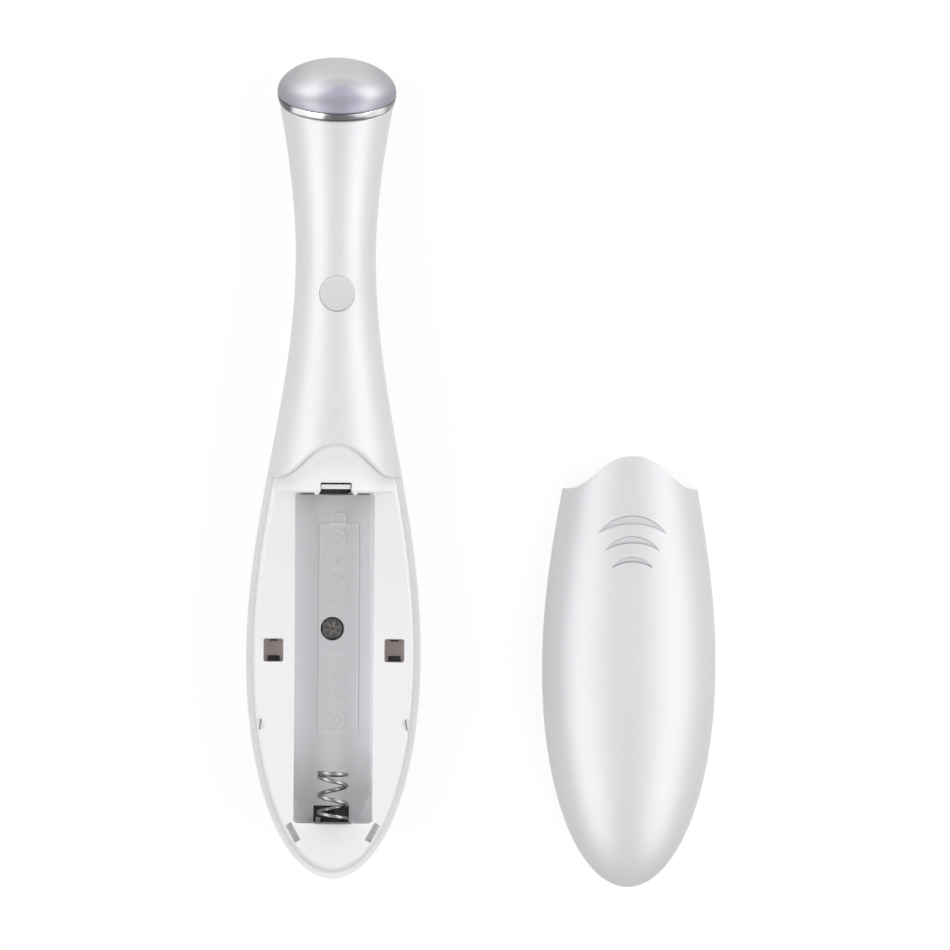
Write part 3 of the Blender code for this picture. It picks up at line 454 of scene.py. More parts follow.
def metal(name, dark, light, rough, along, across, depth):
    """Metal with faint drawn lines and cloudy handling marks."""
    material, tree, shader = new_finish(name, rough[0], metallic=1.0)
    texture = use_group(tree, marks, Along=along, Across=across)
    tree.links.new(colour_between(tree, texture.outputs["Cloud"], dark, light), shader.inputs["Base Color"])
    tree.links.new(value_between(tree, texture.outputs["Streak"], *rough), shader.inputs["Roughness"])
    bump(tree, shader, texture.outputs["Streak"], 0.4, depth)
    return material


print("makers: plastic, metal")

# %% [markdown]
# The shells are lacquered in pearl: a pale grey base full of fine flakes, under a soft clear gloss.
# The flakes only change the tone and the gloss by a little, so that from a distance the shells show
# soft bands of light, and close up they glitter faintly.


# %% Pearl lacquer
def lacquer(name, dark, light):
    """A pale base with fine flakes under a soft clear gloss."""
    material, tree, shader = new_finish(name, 0.47, metallic=0.34, coat=0.12, coat_roughness=0.4)
    texture = use_group(tree, grain, Fineness=2600.0, Slow=70.0)
    glitter = use_group(tree, flakes, Flakes=11000.0)
    slow = maths(tree, "MULTIPLY", texture.outputs["Tone"], 0.6)
    tone = maths(tree, "ADD", slow, maths(tree, "MULTIPLY", glitter.outputs["Glint"], 0.4))
    tree.links.new(colour_between(tree, tone, dark, light), shader.inputs["Base Color"])
    tree.links.new(value_between(tree, glitter.outputs["Glint"], 0.43, 0.52), shader.inputs["Roughness"])
    bump(tree, shader, texture.outputs["Height"], 0.25, 0.004 * MM)
    return material


pearl = lacquer("pearl_shell", (0.60, 0.59, 0.61), (0.69, 0.68, 0.70))
# Painted shade: the cover's lacquer is a slightly darker copy of the shells' lacquer.
pearl_cover = lacquer("pearl_cover", (0.58, 0.57, 0.59), (0.66, 0.65, 0.67))
print("finishes:", pearl.name, pearl_cover.name)

# %% [markdown]
# The tray is plain white plastic, the button is light grey with a silky face, and the inner pieces
# have ordinary moulded or plated finishes. They share the same two makers, `plastic` and `metal`.
# Each row gives a dark and a light tone, a range of roughness, the scale of the texture and the depth
# of its relief. Some rows are darker or lighter copies of one material, as painted shade and painted
# highlights.

# %% Other finishes
PLASTICS = {
    "white_moulding": ((0.83, 0.83, 0.85), (0.88, 0.88, 0.89), (0.36, 0.46), 5200.0, 0.006 * MM),
    # Painted shade: a greyer copy of the white moulding, for the deep pocket.
    "pocket_painted_shade": ((0.76, 0.76, 0.78), (0.81, 0.81, 0.83), (0.5, 0.6), 7000.0, 0.01 * MM),
    # Painted shade: a warmer, darker copy of the white moulding, for the shelves under the shell.
    "shelf_painted_shade": ((0.80, 0.70, 0.68), (0.86, 0.76, 0.74), (0.5, 0.6), 7000.0, 0.01 * MM),
    "mark_white": ((0.85, 0.85, 0.86), (0.89, 0.89, 0.90), (0.30, 0.40), 5200.0, 0.004 * MM),
    "button_grey": ((0.65, 0.64, 0.655), (0.70, 0.69, 0.705), (0.42, 0.52), 9000.0, 0.008 * MM),
    "black_plastic": ((0.022, 0.022, 0.023), (0.035, 0.035, 0.036), (0.40, 0.55), 6000.0, 0.008 * MM),
    "lead_red": ((0.42, 0.02, 0.02), (0.52, 0.03, 0.03), (0.40, 0.55), 6000.0, 0.006 * MM),
    "board_green": ((0.03, 0.17, 0.07), (0.05, 0.23, 0.10), (0.34, 0.46), 4000.0, 0.006 * MM),
}
METALS = {
    "contact_steel": ((0.34, 0.335, 0.325), (0.46, 0.455, 0.44), (0.14, 0.26), 1500.0, 16000.0, 0.004 * MM),
    # Painted shade: a darker copy of the contact steel, for the spring deep in the pocket.
    "painted_shade_spring_steel": ((0.20, 0.197, 0.19), (0.28, 0.277, 0.27), (0.14, 0.26), 1500.0, 16000.0, 0.004 * MM),
    # Painted shade: a darker copy of the contact steel, for the negative plate.
    "painted_shade_steel": ((0.14, 0.138, 0.132), (0.22, 0.217, 0.21), (0.2, 0.32), 1500.0, 16000.0, 0.004 * MM),
    # Dark nickel of the screw's head and the weight, and painted shade on the positive plate.
    "dark_nickel": ((0.035, 0.033, 0.031), (0.13, 0.125, 0.12), (0.2, 0.34), 3000.0, 9000.0, 0.004 * MM),
    # Painted highlight: a lighter copy of the plating, for the lit fold of the positive contact.
    "painted_highlight_plate": ((0.70, 0.69, 0.68), (0.80, 0.79, 0.78), (0.2, 0.3), 1500.0, 16000.0, 0.002 * MM),
    # Painted glint: a paler copy of the plating, for the sloping walls of the screw's star.
    "painted_glint_plate": ((0.52, 0.51, 0.50), (0.64, 0.63, 0.62), (0.2, 0.3), 1500.0, 16000.0, 0.002 * MM),
}
plastics = [plastic(name, *values) for name, values in PLASTICS.items()]
white, pocket_painted_shade, shelf_painted_shade, mark_white, button_grey, black, red, board_green = plastics
metals = [metal(name, *values) for name, values in METALS.items()]
steel, painted_shade_spring_steel, painted_shade_steel, dark_nickel, painted_highlight_plate, painted_glint_plate = metals
print("finishes:", *PLASTICS, *METALS)

# %% [markdown]
# ## The two shells
# The handle is a clamshell: a back half that the wand lies on, and a front half that ends in the
# curved seam. Each half is a sheet laid on the form, from one parting edge over to the other, and
# `thicken` turns it into a moulding with a real wall and a softly rounded rim.

# %% Back shell
EDGE_TURN = 0.012
BUTT_SHARE = 0.4
RIM_ROUND = 0.18 * MM


def half_turn(across, start):
    """The turn at a share of the way over from one parting edge to the other."""
    return start - EDGE_TURN - across * (math.pi - 2 * EDGE_TURN)


def back_place(across, along):
    """A point of the back half: the first rows run round the butt, and the rest up to the head."""
    if along < BUTT_SHARE:
        y = -BUTT_LENGTH * math.cos(0.5 * math.pi * along / BUTT_SHARE)
    else:
        y = HEAD_AT * (along - BUTT_SHARE) / (1.0 - BUTT_SHARE)
    point = skin_point(y, half_turn(across, 2 * math.pi))
    point.z = max(point.z, 0.0)
    return point


back_shell = keep("back_moulding", sheet_of(88, 150, back_place), "wand", pearl)
thicken(back_shell, SHELL_WALL, RIM_ROUND)
even_shading(back_shell)
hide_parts("back_shell")
print("back shell faces:", len(back_shell.data.polygons))

# %% [markdown]
# The front half starts at the seam, so the first row of its sheet is bent to follow that curve. The
# button's hole is cut last, straight down through the wall.

# %% Front shell
BUTTON_AT = 54.7 * MM
BUTTON_RADIUS = 2.65 * MM
BUTTON_PLAY = 0.05 * MM
BUTTON_RISE = 0.3 * MM
HOLE_FROM = 2.0 * MM
HOLE_LENGTH = 9.0 * MM


def front_place(across, along):
    """A point of the front half, whose first row follows the seam."""
    turn = half_turn(across, math.pi)
    start = seam_station(turn) + GAP / 2
    return skin_point(start + (HEAD_AT - start) * along, turn)


front_shell = keep("front_moulding", sheet_of(96, 110, front_place), "wand", pearl)
thicken(front_shell, SHELL_WALL, RIM_ROUND)
bake(front_shell)
hole = plug(BUTTON_RADIUS + BUTTON_PLAY, 0.0, HOLE_LENGTH)
bmesh.ops.translate(hole, verts=hole.verts, vec=(0.0, BUTTON_AT, spine_z(BUTTON_AT) + HOLE_FROM))
cut(front_shell, hole)
even_shading(front_shell)
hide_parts("front_shell")
print("front shell faces:", len(front_shell.data.polygons))

# %% [markdown]
# ## Solids from the form
# Some inner parts end exactly at a wall. They are plain blocks that are limited by the form itself:
# `form_solid` closes the form into a solid, and `shared` keeps what two solids have in common.

# %% Solids from the form
FORM_GRID = (72, 60)


def form_solid(inset, end_y):
    """The whole form from the butt to a station, closed at both ends."""
    butt = BUTT_LENGTH - inset

    def place(across, along):
        y = -butt * math.cos(math.pi * along) if along < 0.5 else end_y * (2 * along - 1.0)
        return skin_point(y, 2 * math.pi * across, inset)

    shape = sheet_of(*FORM_GRID, place)
    bmesh.ops.holes_fill(shape, edges=shape.edges, sides=0)
    bmesh.ops.recalc_face_normals(shape, faces=shape.faces)
    return shape


def shared(first, second):
    """What two solids have in common, as a new bmesh."""
    piece = keep("shared", first, None)
    cut(piece, second, "INTERSECT")
    shape = bmesh.new()
    shape.from_mesh(piece.data)
    bpy.data.objects.remove(piece)
    return shape


print("the form is drawn with", FORM_GRID[0], "by", FORM_GRID[1], "faces")

# %% [markdown]
# ## The cover
# The cover continues the front shell's skin down to the butt. It is drawn where it closes, and then
# moved to where it lies. Three crescents are pressed into it as a thumb grip: each is a scoop that
# starts level at its upper arc and ends in a small step at its lower one.

# %% Cover skin
COVER_PLACE = Vector((45.2 * MM, -1.2 * MM, -PARTING_Z - GAP / 2))
COVER_RIM_ROUND = 0.2 * MM
RIM_Z = PARTING_Z + GAP / 2


def cover_place(across, along):
    """A point of the cover, from the butt to the seam. Its rows lie closest at the butt."""
    turn = half_turn(across, math.pi)
    end = seam_station(turn) - GAP / 2
    return skin_point(-BUTT_LENGTH + (end + BUTT_LENGTH) * (1.0 - math.cos(0.5 * math.pi * along)), turn)


cover = keep("cover_moulding", sheet_of(120, 150, cover_place), None, pearl_cover)
thicken(cover, COVER_WALL, COVER_RIM_ROUND)
bake(cover)
for vert in cover.data.vertices:
    vert.co.z = max(vert.co.z, RIM_Z)
print("cover faces:", len(cover.data.polygons))

# %% Grip crescents
GRIP_TIPS_AT = 20.0 * MM
GRIP_PITCH = 2.6 * MM
GRIP_HALF_CHORD = 5.2 * MM
GRIP_CHORD_STEP = 1.03 * MM
GRIP_DEPTH = 0.5 * MM
GRIP_GRID = (40, 12)
GRIP_END_SHARE = 0.997
ARC_SHARES = (0.275, 0.53)
RAMP_SHARES = (0.42, 0.58)
RAMP_POWER = 1.3
GROOVE_FROM = 0.93
GROOVE_SHARE = 0.35
PLUG_HEIGHT = 2.0 * MM
SKIN_CLEAR = 0.02 * MM


def arc_rise(half, share, x):
    """Height above the tips of an arc that rises by a share of its half chord."""
    rise = half * share
    radius = (half * half + rise * rise) / (2 * rise)
    return rise - radius + math.sqrt(max(radius * radius - x * x, 0.0))


def top_z(x, y, inset=0.0):
    """Height of the upper skin over a point of the plan."""
    width, top, _ = half_sizes(y, inset)
    return spine_z(y) + top * math.sqrt(max(1.0 - (x / width) ** 2, 0.0))


def grip_cutter(index):
    """A crescent plug whose underside ramps down to the lower arc, with a fine groove at the upper."""
    half = GRIP_HALF_CHORD - GRIP_CHORD_STEP * index
    tips_y = GRIP_TIPS_AT - GRIP_PITCH * index

    def place(across, along):
        x = half * GRIP_END_SHARE * math.sin((across - 0.5) * math.pi)
        low, high = (tips_y + arc_rise(half, share, x) for share in ARC_SHARES)
        y = low + (high - low) * along
        groove = GROOVE_SHARE if along > GROOVE_FROM else 0.0
        ramp = RAMP_SHARES[0] + RAMP_SHARES[1] * (1.0 - along) ** RAMP_POWER + groove
        fade = 1.0 - (x / half) ** 2
        return Vector((x, y, top_z(x, y) - GRIP_DEPTH * fade**0.5 * ramp - SKIN_CLEAR))

    return raised(sheet_of(*GRIP_GRID, place), PLUG_HEIGHT)


for index in range(3):
    cut(cover, grip_cutter(index))
print("cover faces with its grip:", len(cover.data.polygons))

# %% [markdown]
# Inside, the cover has two snap hooks that drop into the deck's windows, and two short tabs at the
# butt that fit its slanted slots. Each is a block that grows out of the wall, with a small barb on
# the hooks' feet.

# %% Hooks and tabs
TRAY_INSET = SHELL_WALL + GAP
CATCH_AT = 0.9 * MM
STRIP = 1.15 * MM
DECK_RISE = 1.8 * MM
HOOK = (1.0 * MM, 2.6 * MM)
HOOK_PLAY = 0.5 * MM
BARB = (0.8 * MM, 0.55 * MM)
BARB_LAP = 0.2 * MM
BARB_SIDE = 0.05 * MM
TAB = (0.5 * MM, 2.0 * MM, 0.8 * MM)
SLOT_AT = (6.0 * MM, -26.6 * MM)
SLOT_TURN = math.radians(30)
SKIN_INSET = 0.5 * MM
FORM_END_AT = 30.0 * MM


def slot_place(side):
    """Where one of the cover's tabs lies and turns, and its slot in the deck with it."""
    turned = Matrix.Rotation(-side * SLOT_TURN, 4, "Z")
    return Matrix.Translation((side * SLOT_AT[0], SLOT_AT[1], 0)) @ turned


hook_edge = half_sizes(CATCH_AT, TRAY_INSET)[0] - STRIP - HOOK_PLAY
crown_z = PARTING_Z + COVER_SIDE_DEPTH
ys = (CATCH_AT - HOOK[1] / 2, CATCH_AT + HOOK[1] / 2)
for side in (-1, 1):
    xs = sorted((side * (hook_edge - HOOK[0]), side * hook_edge))
    stem = block((xs[0], ys[0], RIM_Z), (xs[1], ys[1], crown_z))
    cut(cover, shared(stem, form_solid(SKIN_INSET, FORM_END_AT)), "UNION")
    xs = sorted((side * (hook_edge - BARB_LAP), side * (hook_edge + BARB[0])))
    cut(cover, block((xs[0], ys[0] + BARB_SIDE, RIM_Z), (xs[1], ys[1] - BARB_SIDE, RIM_Z + BARB[1])), "UNION")
    low = (-TAB[0] / 2, -TAB[1] / 2, PARTING_Z + DECK_RISE - TAB[2])
    tab = block(low, (TAB[0] / 2, TAB[1] / 2, crown_z))
    bmesh.ops.transform(tab, matrix=slot_place(side), verts=tab.verts)
    cut(cover, shared(tab, form_solid(SKIN_INSET, FORM_END_AT)), "UNION")
print("hooks", hook_edge / MM, "mm out from the middle")

# %% Cover laid beside the wand
COVER_SHARE = 0.9985
middle = Matrix.Translation((0, -GAP, 0))
cover.data.transform(middle @ Matrix.Diagonal((COVER_SHARE, COVER_SHARE, 1.0, 1.0)) @ middle.inverted())
cover.data.transform(Matrix.Translation(COVER_PLACE))
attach(cover, "cover")
even_shading(cover)
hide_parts("battery_cover")
print("cover faces in all:", len(cover.data.polygons))

# %% [markdown]
# ## The head
# The head is a pressed metal cap: a satin dome that sits on a bright straight band, with a fine line
# between them. Both are turned shapes, so `spin` makes each from half its section, and they are then
# tilted onto the wand's open end. The dome's colour is a painted reflection: palest at its crown, and
# darker and bluer at its foot. A room that is white all round leaves nothing dark to mirror, so a
# painted dark reflection sits between the dome's two highlights, and the band's dark and pale zones
# are painted reflections in a ramp across it.


# %% Head finishes
def along_head(tree, mask, stops):
    """Tones that follow a mask from 0 to 1, as (place, colour) stops: the head's painted reflections."""
    node = tree.nodes.new("ShaderNodeValToRGB")
    tree.links.new(mask, node.inputs["Fac"])
    ramp = node.color_ramp
    ramp.interpolation = "EASE"
    for place, colour in stops[1:-1]:
        ramp.elements.new(place).color = (*colour, 1.0)
    ramp.elements[0].color = (*stops[0][1], 1.0)
    ramp.elements[-1].color = (*stops[-1][1], 1.0)
    return node.outputs["Color"]


def grey(value, blue=1.02):
    """A grey with a little more blue."""
    return (value, value, value * blue)


def distance_from(tree, point):
    """How far a place on the object lies from a point."""
    node = tree.nodes.new("ShaderNodeVectorMath")
    node.operation = "DISTANCE"
    tree.links.new(object_place(tree), node.inputs[0])
    node.inputs[1].default_value = point
    return node.outputs["Value"]


print("helpers: along_head, grey, distance_from")

# %% Satin finish of the dome, with painted reflections
CROWN = Vector((0.0, 89.4 * MM, 11.6 * MM))
CROWN_REACH = 10.5 * MM
DARK_REFLECTION_AT = Vector((0.3 * MM, 84.8 * MM, 16.7 * MM))
DARK_REFLECTION_RADIUS = 4.2 * MM
DARK_REFLECTION_DEPTH = 0.5
DOME_REFLECTION_TONES = [(0.0, grey(0.47)), (0.35, grey(0.45)), (0.72, grey(0.345, 1.05)), (1.0, grey(0.275, 1.18))]
dome_with_painted_reflection = metal("dome_with_painted_reflection", grey(0.4), grey(0.4), (0.46, 0.54), 1200.0, 20000.0, 0.002 * MM)
tree = dome_with_painted_reflection.node_tree
# Painted reflection: the tone runs from the pale crown to the darker, bluer foot.
share = maths(tree, "MULTIPLY", distance_from(tree, CROWN), 1 / CROWN_REACH)
# Painted dark reflection: a darker spot between the two highlights, fading out over its radius.
dark_reflection_fall = maths(tree, "MULTIPLY", distance_from(tree, DARK_REFLECTION_AT), DARK_REFLECTION_DEPTH / DARK_REFLECTION_RADIUS)
painted_dark_reflection = maths(tree, "MAXIMUM", maths(tree, "SUBTRACT", DARK_REFLECTION_DEPTH, dark_reflection_fall), 0.0)
reflection_tones = along_head(tree, maths(tree, "ADD", share, painted_dark_reflection), DOME_REFLECTION_TONES)
tree.links.new(reflection_tones, tree.nodes["Principled BSDF"].inputs["Base Color"])
print("dome tones:", len(DOME_REFLECTION_TONES))

# %% Bright band with painted reflections
# Painted reflections: the band's dark and pale zones, as a ramp from one side to the other.
BAND_REFLECTION_TONES = [(0.0, 0.05), (0.09, 0.12), (0.14, 0.8), (0.34, 0.88), (0.4, 0.2), (0.47, 0.14), (0.58, 0.17)]
BAND_REFLECTION_TONES += [(0.7, 0.3), (0.76, 0.68), (0.86, 0.74), (0.93, 0.25), (1.0, 0.08)]
band_with_painted_reflection = metal("band_with_painted_reflection", grey(0.4), grey(0.4), (0.16, 0.22), 1200.0, 20000.0, 0.001 * MM)
tree = band_with_painted_reflection.node_tree
apart = tree.nodes.new("ShaderNodeSeparateXYZ")
tree.links.new(object_place(tree), apart.inputs[0])
share = maths(tree, "ADD", maths(tree, "MULTIPLY", apart.outputs["X"], 0.5 / CAP_RADIUS), 0.5)
reflection_tones = along_head(tree, share, [(place, grey(value)) for place, value in BAND_REFLECTION_TONES])
tree.links.new(reflection_tones, tree.nodes["Principled BSDF"].inputs["Base Color"])
print("band tones:", len(BAND_REFLECTION_TONES))

# %% Metal dome
CAP_BAND = 1.0 * MM
CAP_DOME = 4.93 * MM
CAP_EDGE = (0.12 * MM, 0.35 * MM)
CAP_WALL = 0.6 * MM
EDGE_STEP = 0.02 * MM
SEAM_LINE = 0.05 * MM
HEAD_STEPS = 160
head_at = (0.0, HEAD_AT + GAP * math.cos(HEAD_TILT), HEAD_Z + GAP * math.sin(HEAD_TILT))
head_place = Matrix.Translation(head_at) @ Matrix.Rotation(HEAD_TILT - math.pi / 2, 4, "X")


def on_head(profile):
    """A turned shape, tilted onto the plane that carries the head."""
    shape = spun(profile, HEAD_STEPS)
    bmesh.ops.transform(shape, matrix=head_place, verts=shape.verts)
    return shape


dome_foot = CAP_BAND + SEAM_LINE
rise = CAP_BAND + CAP_DOME - dome_foot
edge_z = dome_foot + CAP_EDGE[1]
profile = curve_of((0, edge_z), (CAP_RADIUS, rise - CAP_EDGE[1]), 90, 0, 36)
profile += curve_of((CAP_RADIUS - CAP_EDGE[0], edge_z), CAP_EDGE, 0, -80, 8)[1:]
profile += [(CAP_RADIUS - CAP_EDGE[0] - EDGE_STEP, dome_foot), (CAP_RADIUS - CAP_WALL, dome_foot)]
profile += curve_of((0, dome_foot), (CAP_RADIUS - CAP_WALL, rise - CAP_WALL), 10, 90, 14)
metal_dome = keep("metal_dome", on_head(profile), "wand", dome_with_painted_reflection, crease=60)
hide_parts("head_cap")
print("dome", CAP_DOME / MM, "mm high on a radius of", CAP_RADIUS / MM)

# %% Bright band
BAND_PLAY = 0.03 * MM
BAND_TAPER = 0.15 * MM
BAND_ROUND = 0.06 * MM
SHOULDER = 0.2 * MM
band_radius = CAP_RADIUS - BAND_PLAY
half = SHOULDER / 2
profile = curve_of((band_radius - BAND_TAPER - half, half), (half, half), -90, -10, 6)
profile += curve_of((band_radius - BAND_ROUND, CAP_BAND - BAND_ROUND), (BAND_ROUND, BAND_ROUND), -8, 90, 4)
profile += [(CAP_RADIUS - CAP_WALL, CAP_BAND), (CAP_RADIUS - CAP_WALL, 0.0)]
band = keep("metal_band", on_head(profile), "wand", band_with_painted_reflection, crease=60)
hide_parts("head_cap")
print("band", CAP_BAND / MM, "mm wide")

# %% [markdown]
# ## The button
# A round button with a flat face and a softly broken edge. Its flange and stem stay hidden below.

# %% Button
STEM_RADIUS = 0.9 * MM
FLANGE_RADIUS = 3.2 * MM
FLANGE_HEIGHTS = (2.8 * MM, 3.4 * MM)
FACE_ROUND = 0.28 * MM
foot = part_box("power_button")[0].z - spine_z(BUTTON_AT)
face = half_sizes(BUTTON_AT)[1] + BUTTON_RISE
profile = [(0.0, foot), (STEM_RADIUS, foot), (STEM_RADIUS, FLANGE_HEIGHTS[0])]
profile += [(FLANGE_RADIUS, height) for height in FLANGE_HEIGHTS] + [(BUTTON_RADIUS, FLANGE_HEIGHTS[1])]
profile += curve_of((BUTTON_RADIUS - FACE_ROUND, face - FACE_ROUND), (FACE_ROUND, FACE_ROUND), 0, 90, 6)
shape = spun(profile + [(0.0, face)])
bmesh.ops.translate(shape, verts=shape.verts, vec=(0.0, BUTTON_AT, spine_z(BUTTON_AT)))
button = keep("push_button", shape, "button", button_grey)
even_shading(button)
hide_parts("power_button")
print("button stands", BUTTON_RISE / MM, "mm above the crown")

# %% [markdown]
# ## The battery tray
# Under the cover sits one white moulding: a flat deck, a tongue that arches up to the seam, and a
# deep pocket for one cell. Its edges are all softly broken, because sharp edges don't come out of a
# mould, and those soft edges catch the light. Here each edge is rounded where its shape is drawn,
# so the cuts need no bevel afterwards.

# %% Tray sizes
DECK_Z = PARTING_Z + DECK_RISE
DECK_ROUND = 0.3 * MM
TRAY_BASE_Z = PARTING_Z + GAP / 2
DECK_INSET = 1.08 * MM
DECK_END = 27.08 * MM
POCKET_HALF = 5.95 * MM
POCKET_TOP_AT = 24.7 * MM
POCKET_END_AT = 25.2 * MM
FLOOR_Z = PARTING_Z - 4.6 * MM
POCKET_CORNER = 0.6 * MM
TRAY_WALL = 1.0 * MM
TONGUE_WALL = 1.2 * MM
TONGUE_END = 33.4 * MM
LIP = 0.22 * MM
print("deck", DECK_Z / MM, "floor", FLOOR_Z / MM)

# %% Deck slab
DECK_GRID = (180, 7)
SIDE_SHARE = 0.4
FLOW_STEP = 0.002


def deck_edge(side_share, rise):
    """A point of the deck's outline at a height: shares -1 and 1 end at the tongue, 0 is the butt."""
    narrowing = (1.0 - (rise / (COVER_SIDE_DEPTH - DECK_INSET)) ** 2) ** (1 / BUTT_DEPTH_POWER)
    tip = (BUTT_LENGTH - DECK_INSET) * narrowing
    share = abs(side_share)
    y = -tip * math.cos(math.pi * share) if share < 0.5 else DECK_END * (share - 0.5) / 0.5
    width, top, _ = half_sizes(y, DECK_INSET)
    x = width * math.sqrt(max(1.0 - (rise / top) ** 2, 0.0)) if top > 0 else 0.0
    return Vector((math.copysign(x, side_share), y))


def deck_place(across, along):
    """The deck's side from its foot up, with the rounded edge at the top."""
    turn = 0.5 * math.pi * max(along - SIDE_SHARE, 0.0) / (1.0 - SIDE_SHARE)
    upright = (DECK_RISE - DECK_ROUND - GAP / 2) * min(along / SIDE_SHARE, 1.0)
    rise = upright + GAP / 2 + DECK_ROUND * math.sin(turn)
    share = 2.0 * across - 1.0
    point = deck_edge(share, rise)
    ahead = deck_edge(min(share + FLOW_STEP, 1.0), rise)
    behind = deck_edge(max(share - FLOW_STEP, -1.0), rise)
    flow = (ahead - behind).normalized()
    inward = Vector((-flow.y, flow.x)) * DECK_ROUND * (1.0 - math.cos(turn))
    return Vector((point.x + inward.x, point.y + inward.y, PARTING_Z + rise))


def strip_of(columns, rows, place):
    """A strip of quads closed into a solid, by its top, its foot and a wall between its two ends."""
    shape = bmesh.new()
    bmesh.ops.create_grid(shape, x_segments=columns, y_segments=rows, size=0.5)
    wide = columns + 1
    for index, vert in enumerate(shape.verts):
        vert.co = place((index % wide) / columns, (index // wide) / rows)
    shape.verts.ensure_lookup_table()
    grid = [[shape.verts[row * wide + column] for column in range(wide)] for row in range(rows + 1)]
    ends = [row[0] for row in grid] + [row[-1] for row in reversed(grid)]
    for corners in (grid[0], grid[-1], ends):
        shape.faces.new(corners)
    bmesh.ops.recalc_face_normals(shape, faces=shape.faces)
    return shape


tray = keep("tray_moulding", strip_of(*DECK_GRID, deck_place), "wand", white)
print("deck slab faces:", len(tray.data.polygons))

# %% [markdown]
# The tongue is a piece of the master shape, one wall deeper than the front shell, so that it slides
# in under it. Its end towards the pocket is rounded over by drawing its last few rows a little
# smaller.

# %% Tongue
ARCH_GRID = (80, 26)
ROUND_ROWS = 5
TONGUE_ROUND = 0.45 * MM
TONGUE_CLEAR = 0.02 * MM


def arch_solid(inset, low_y, high_y, foot_z, end_round=0.0):
    """The upper half of the form between two stations, down to a flat foot."""
    rows = ARCH_GRID[1]
    round_rows = ROUND_ROWS if end_round else 0

    def place(across, along):
        row = along * rows
        if row < round_rows:
            angle = 0.5 * math.pi * (1.0 - row / round_rows)
            y = low_y + end_round * (1.0 - math.sin(angle))
            deeper = end_round * (1.0 - math.cos(angle))
        else:
            y = low_y + end_round + (high_y - low_y - end_round) * (row - round_rows) / (rows - round_rows)
            deeper = 0.0
        width, top, _ = half_sizes(y, inset + deeper)
        foot_turn = math.asin((foot_z - spine_z(y)) / top)
        turn = math.pi - foot_turn - (math.pi - 2 * foot_turn) * across
        return Vector((width * math.cos(turn), y, spine_z(y) + top * math.sin(turn)))

    return strip_of(*ARCH_GRID, place)


foot_z = TRAY_BASE_Z + TONGUE_CLEAR
cut(tray, arch_solid(TRAY_INSET - TONGUE_CLEAR, POCKET_TOP_AT, TONGUE_END, foot_z, TONGUE_ROUND), "UNION")
print("with its tongue:", len(tray.data.polygons))

# %% [markdown]
# Below the deck hangs the box that holds the cell. It follows the inside of the back shell at its
# corners, so it is a plain block with the form's lower half taken as its limit. The openings are
# lofted through a few outlines, so that their upper edges come out softly rounded.

# %% Solids for the pocket
CORNER_STEPS = 6
RING_MERGE = 0.0005 * MM
CUT_OVER = 0.4 * MM


def quarter(steps):
    """The angles of a quarter turn."""
    return [0.5 * math.pi * step / steps for step in range(steps + 1)]


def lofted(rings):
    """A closed solid through rings of points: a grid rolled up, with its two ends filled."""
    count = len(rings[0])
    rows = len(rings) - 1
    shape = bmesh.new()
    bmesh.ops.create_grid(shape, x_segments=count, y_segments=rows, size=0.5)
    for vert in shape.verts:
        column = round((vert.co.x + 0.5) * count) % count
        vert.co = rings[round((vert.co.y + 0.5) * rows)][column]
    bmesh.ops.remove_doubles(shape, verts=shape.verts, dist=RING_MERGE)
    bmesh.ops.holes_fill(shape, edges=shape.edges, sides=0)
    bmesh.ops.recalc_face_normals(shape, faces=shape.faces)
    return shape


def rounded_outline(low, high, corner):
    """A rounded rectangle from its lower right corner, counter-clockwise."""
    centre = ((low[0] + high[0]) / 2, (low[1] + high[1]) / 2)
    corners = ((high[0], low[1], -90), (high[0], high[1], 0), (low[0], high[1], 90), (low[0], low[1], 180))
    points = []
    for x, y, start in corners:
        hub = (x - math.copysign(corner, x - centre[0]), y - math.copysign(corner, y - centre[1]))
        points += curve_of(hub, (corner, corner), start, start + 90, CORNER_STEPS)
    return points


def opening(low, high, corner, floor_z, rim_z, lip, foot=0.0, plain_end=False):
    """A cutter for an opening whose upper edge is softly rounded over, apart from a plain end at +Y."""
    levels = [(0.0, floor_z)]
    if foot:
        levels = [(-foot * (1.0 - math.sin(a)), floor_z + foot * (1.0 - math.cos(a))) for a in quarter(4)]
    levels += [(lip * (1.0 - math.cos(a)), rim_z - lip + lip * math.sin(a)) for a in quarter(5)]
    levels.append((lip, rim_z + CUT_OVER))
    rings = []
    for offset, height in levels:
        end = high[1] + (min(offset, 0.0) if plain_end else offset)
        start = (low[0] - offset, low[1] - offset)
        outline = rounded_outline(start, (high[0] + offset, end), corner + offset)
        rings.append([Vector((x, y, height)) for x, y in outline])
    return lofted(rings)


print("a quarter turn in steps:", [round(angle, 2) for angle in quarter(4)])

# %% Pocket walls and pad
LIMIT_END_AT = 40.0 * MM
WALL_LAP = 0.5 * MM
SCREW_AT = 4.15 * MM
PAD_RADIUS = 3.2 * MM
PAD_DROP = 1.1 * MM
PAD_LAP = 0.2 * MM
HOLLOW_OVER = 1.0 * MM
walls_low = (-POCKET_HALF - TRAY_WALL, -POCKET_END_AT - TRAY_WALL, FLOOR_Z - TRAY_WALL)
walls_high = (POCKET_HALF + TRAY_WALL, POCKET_TOP_AT + TRAY_WALL, TRAY_BASE_Z + WALL_LAP)
cut(tray, shared(block(walls_low, walls_high), form_solid(TRAY_INSET, LIMIT_END_AT)), "UNION")
pad = plug(PAD_RADIUS, FLOOR_Z - TRAY_WALL - PAD_DROP, FLOOR_Z - PAD_LAP)
bmesh.ops.translate(pad, verts=pad.verts, vec=(0, SCREW_AT, 0))
cut(tray, pad, "UNION")
hollow_ys = (POCKET_TOP_AT + TONGUE_WALL, TONGUE_END + HOLLOW_OVER)
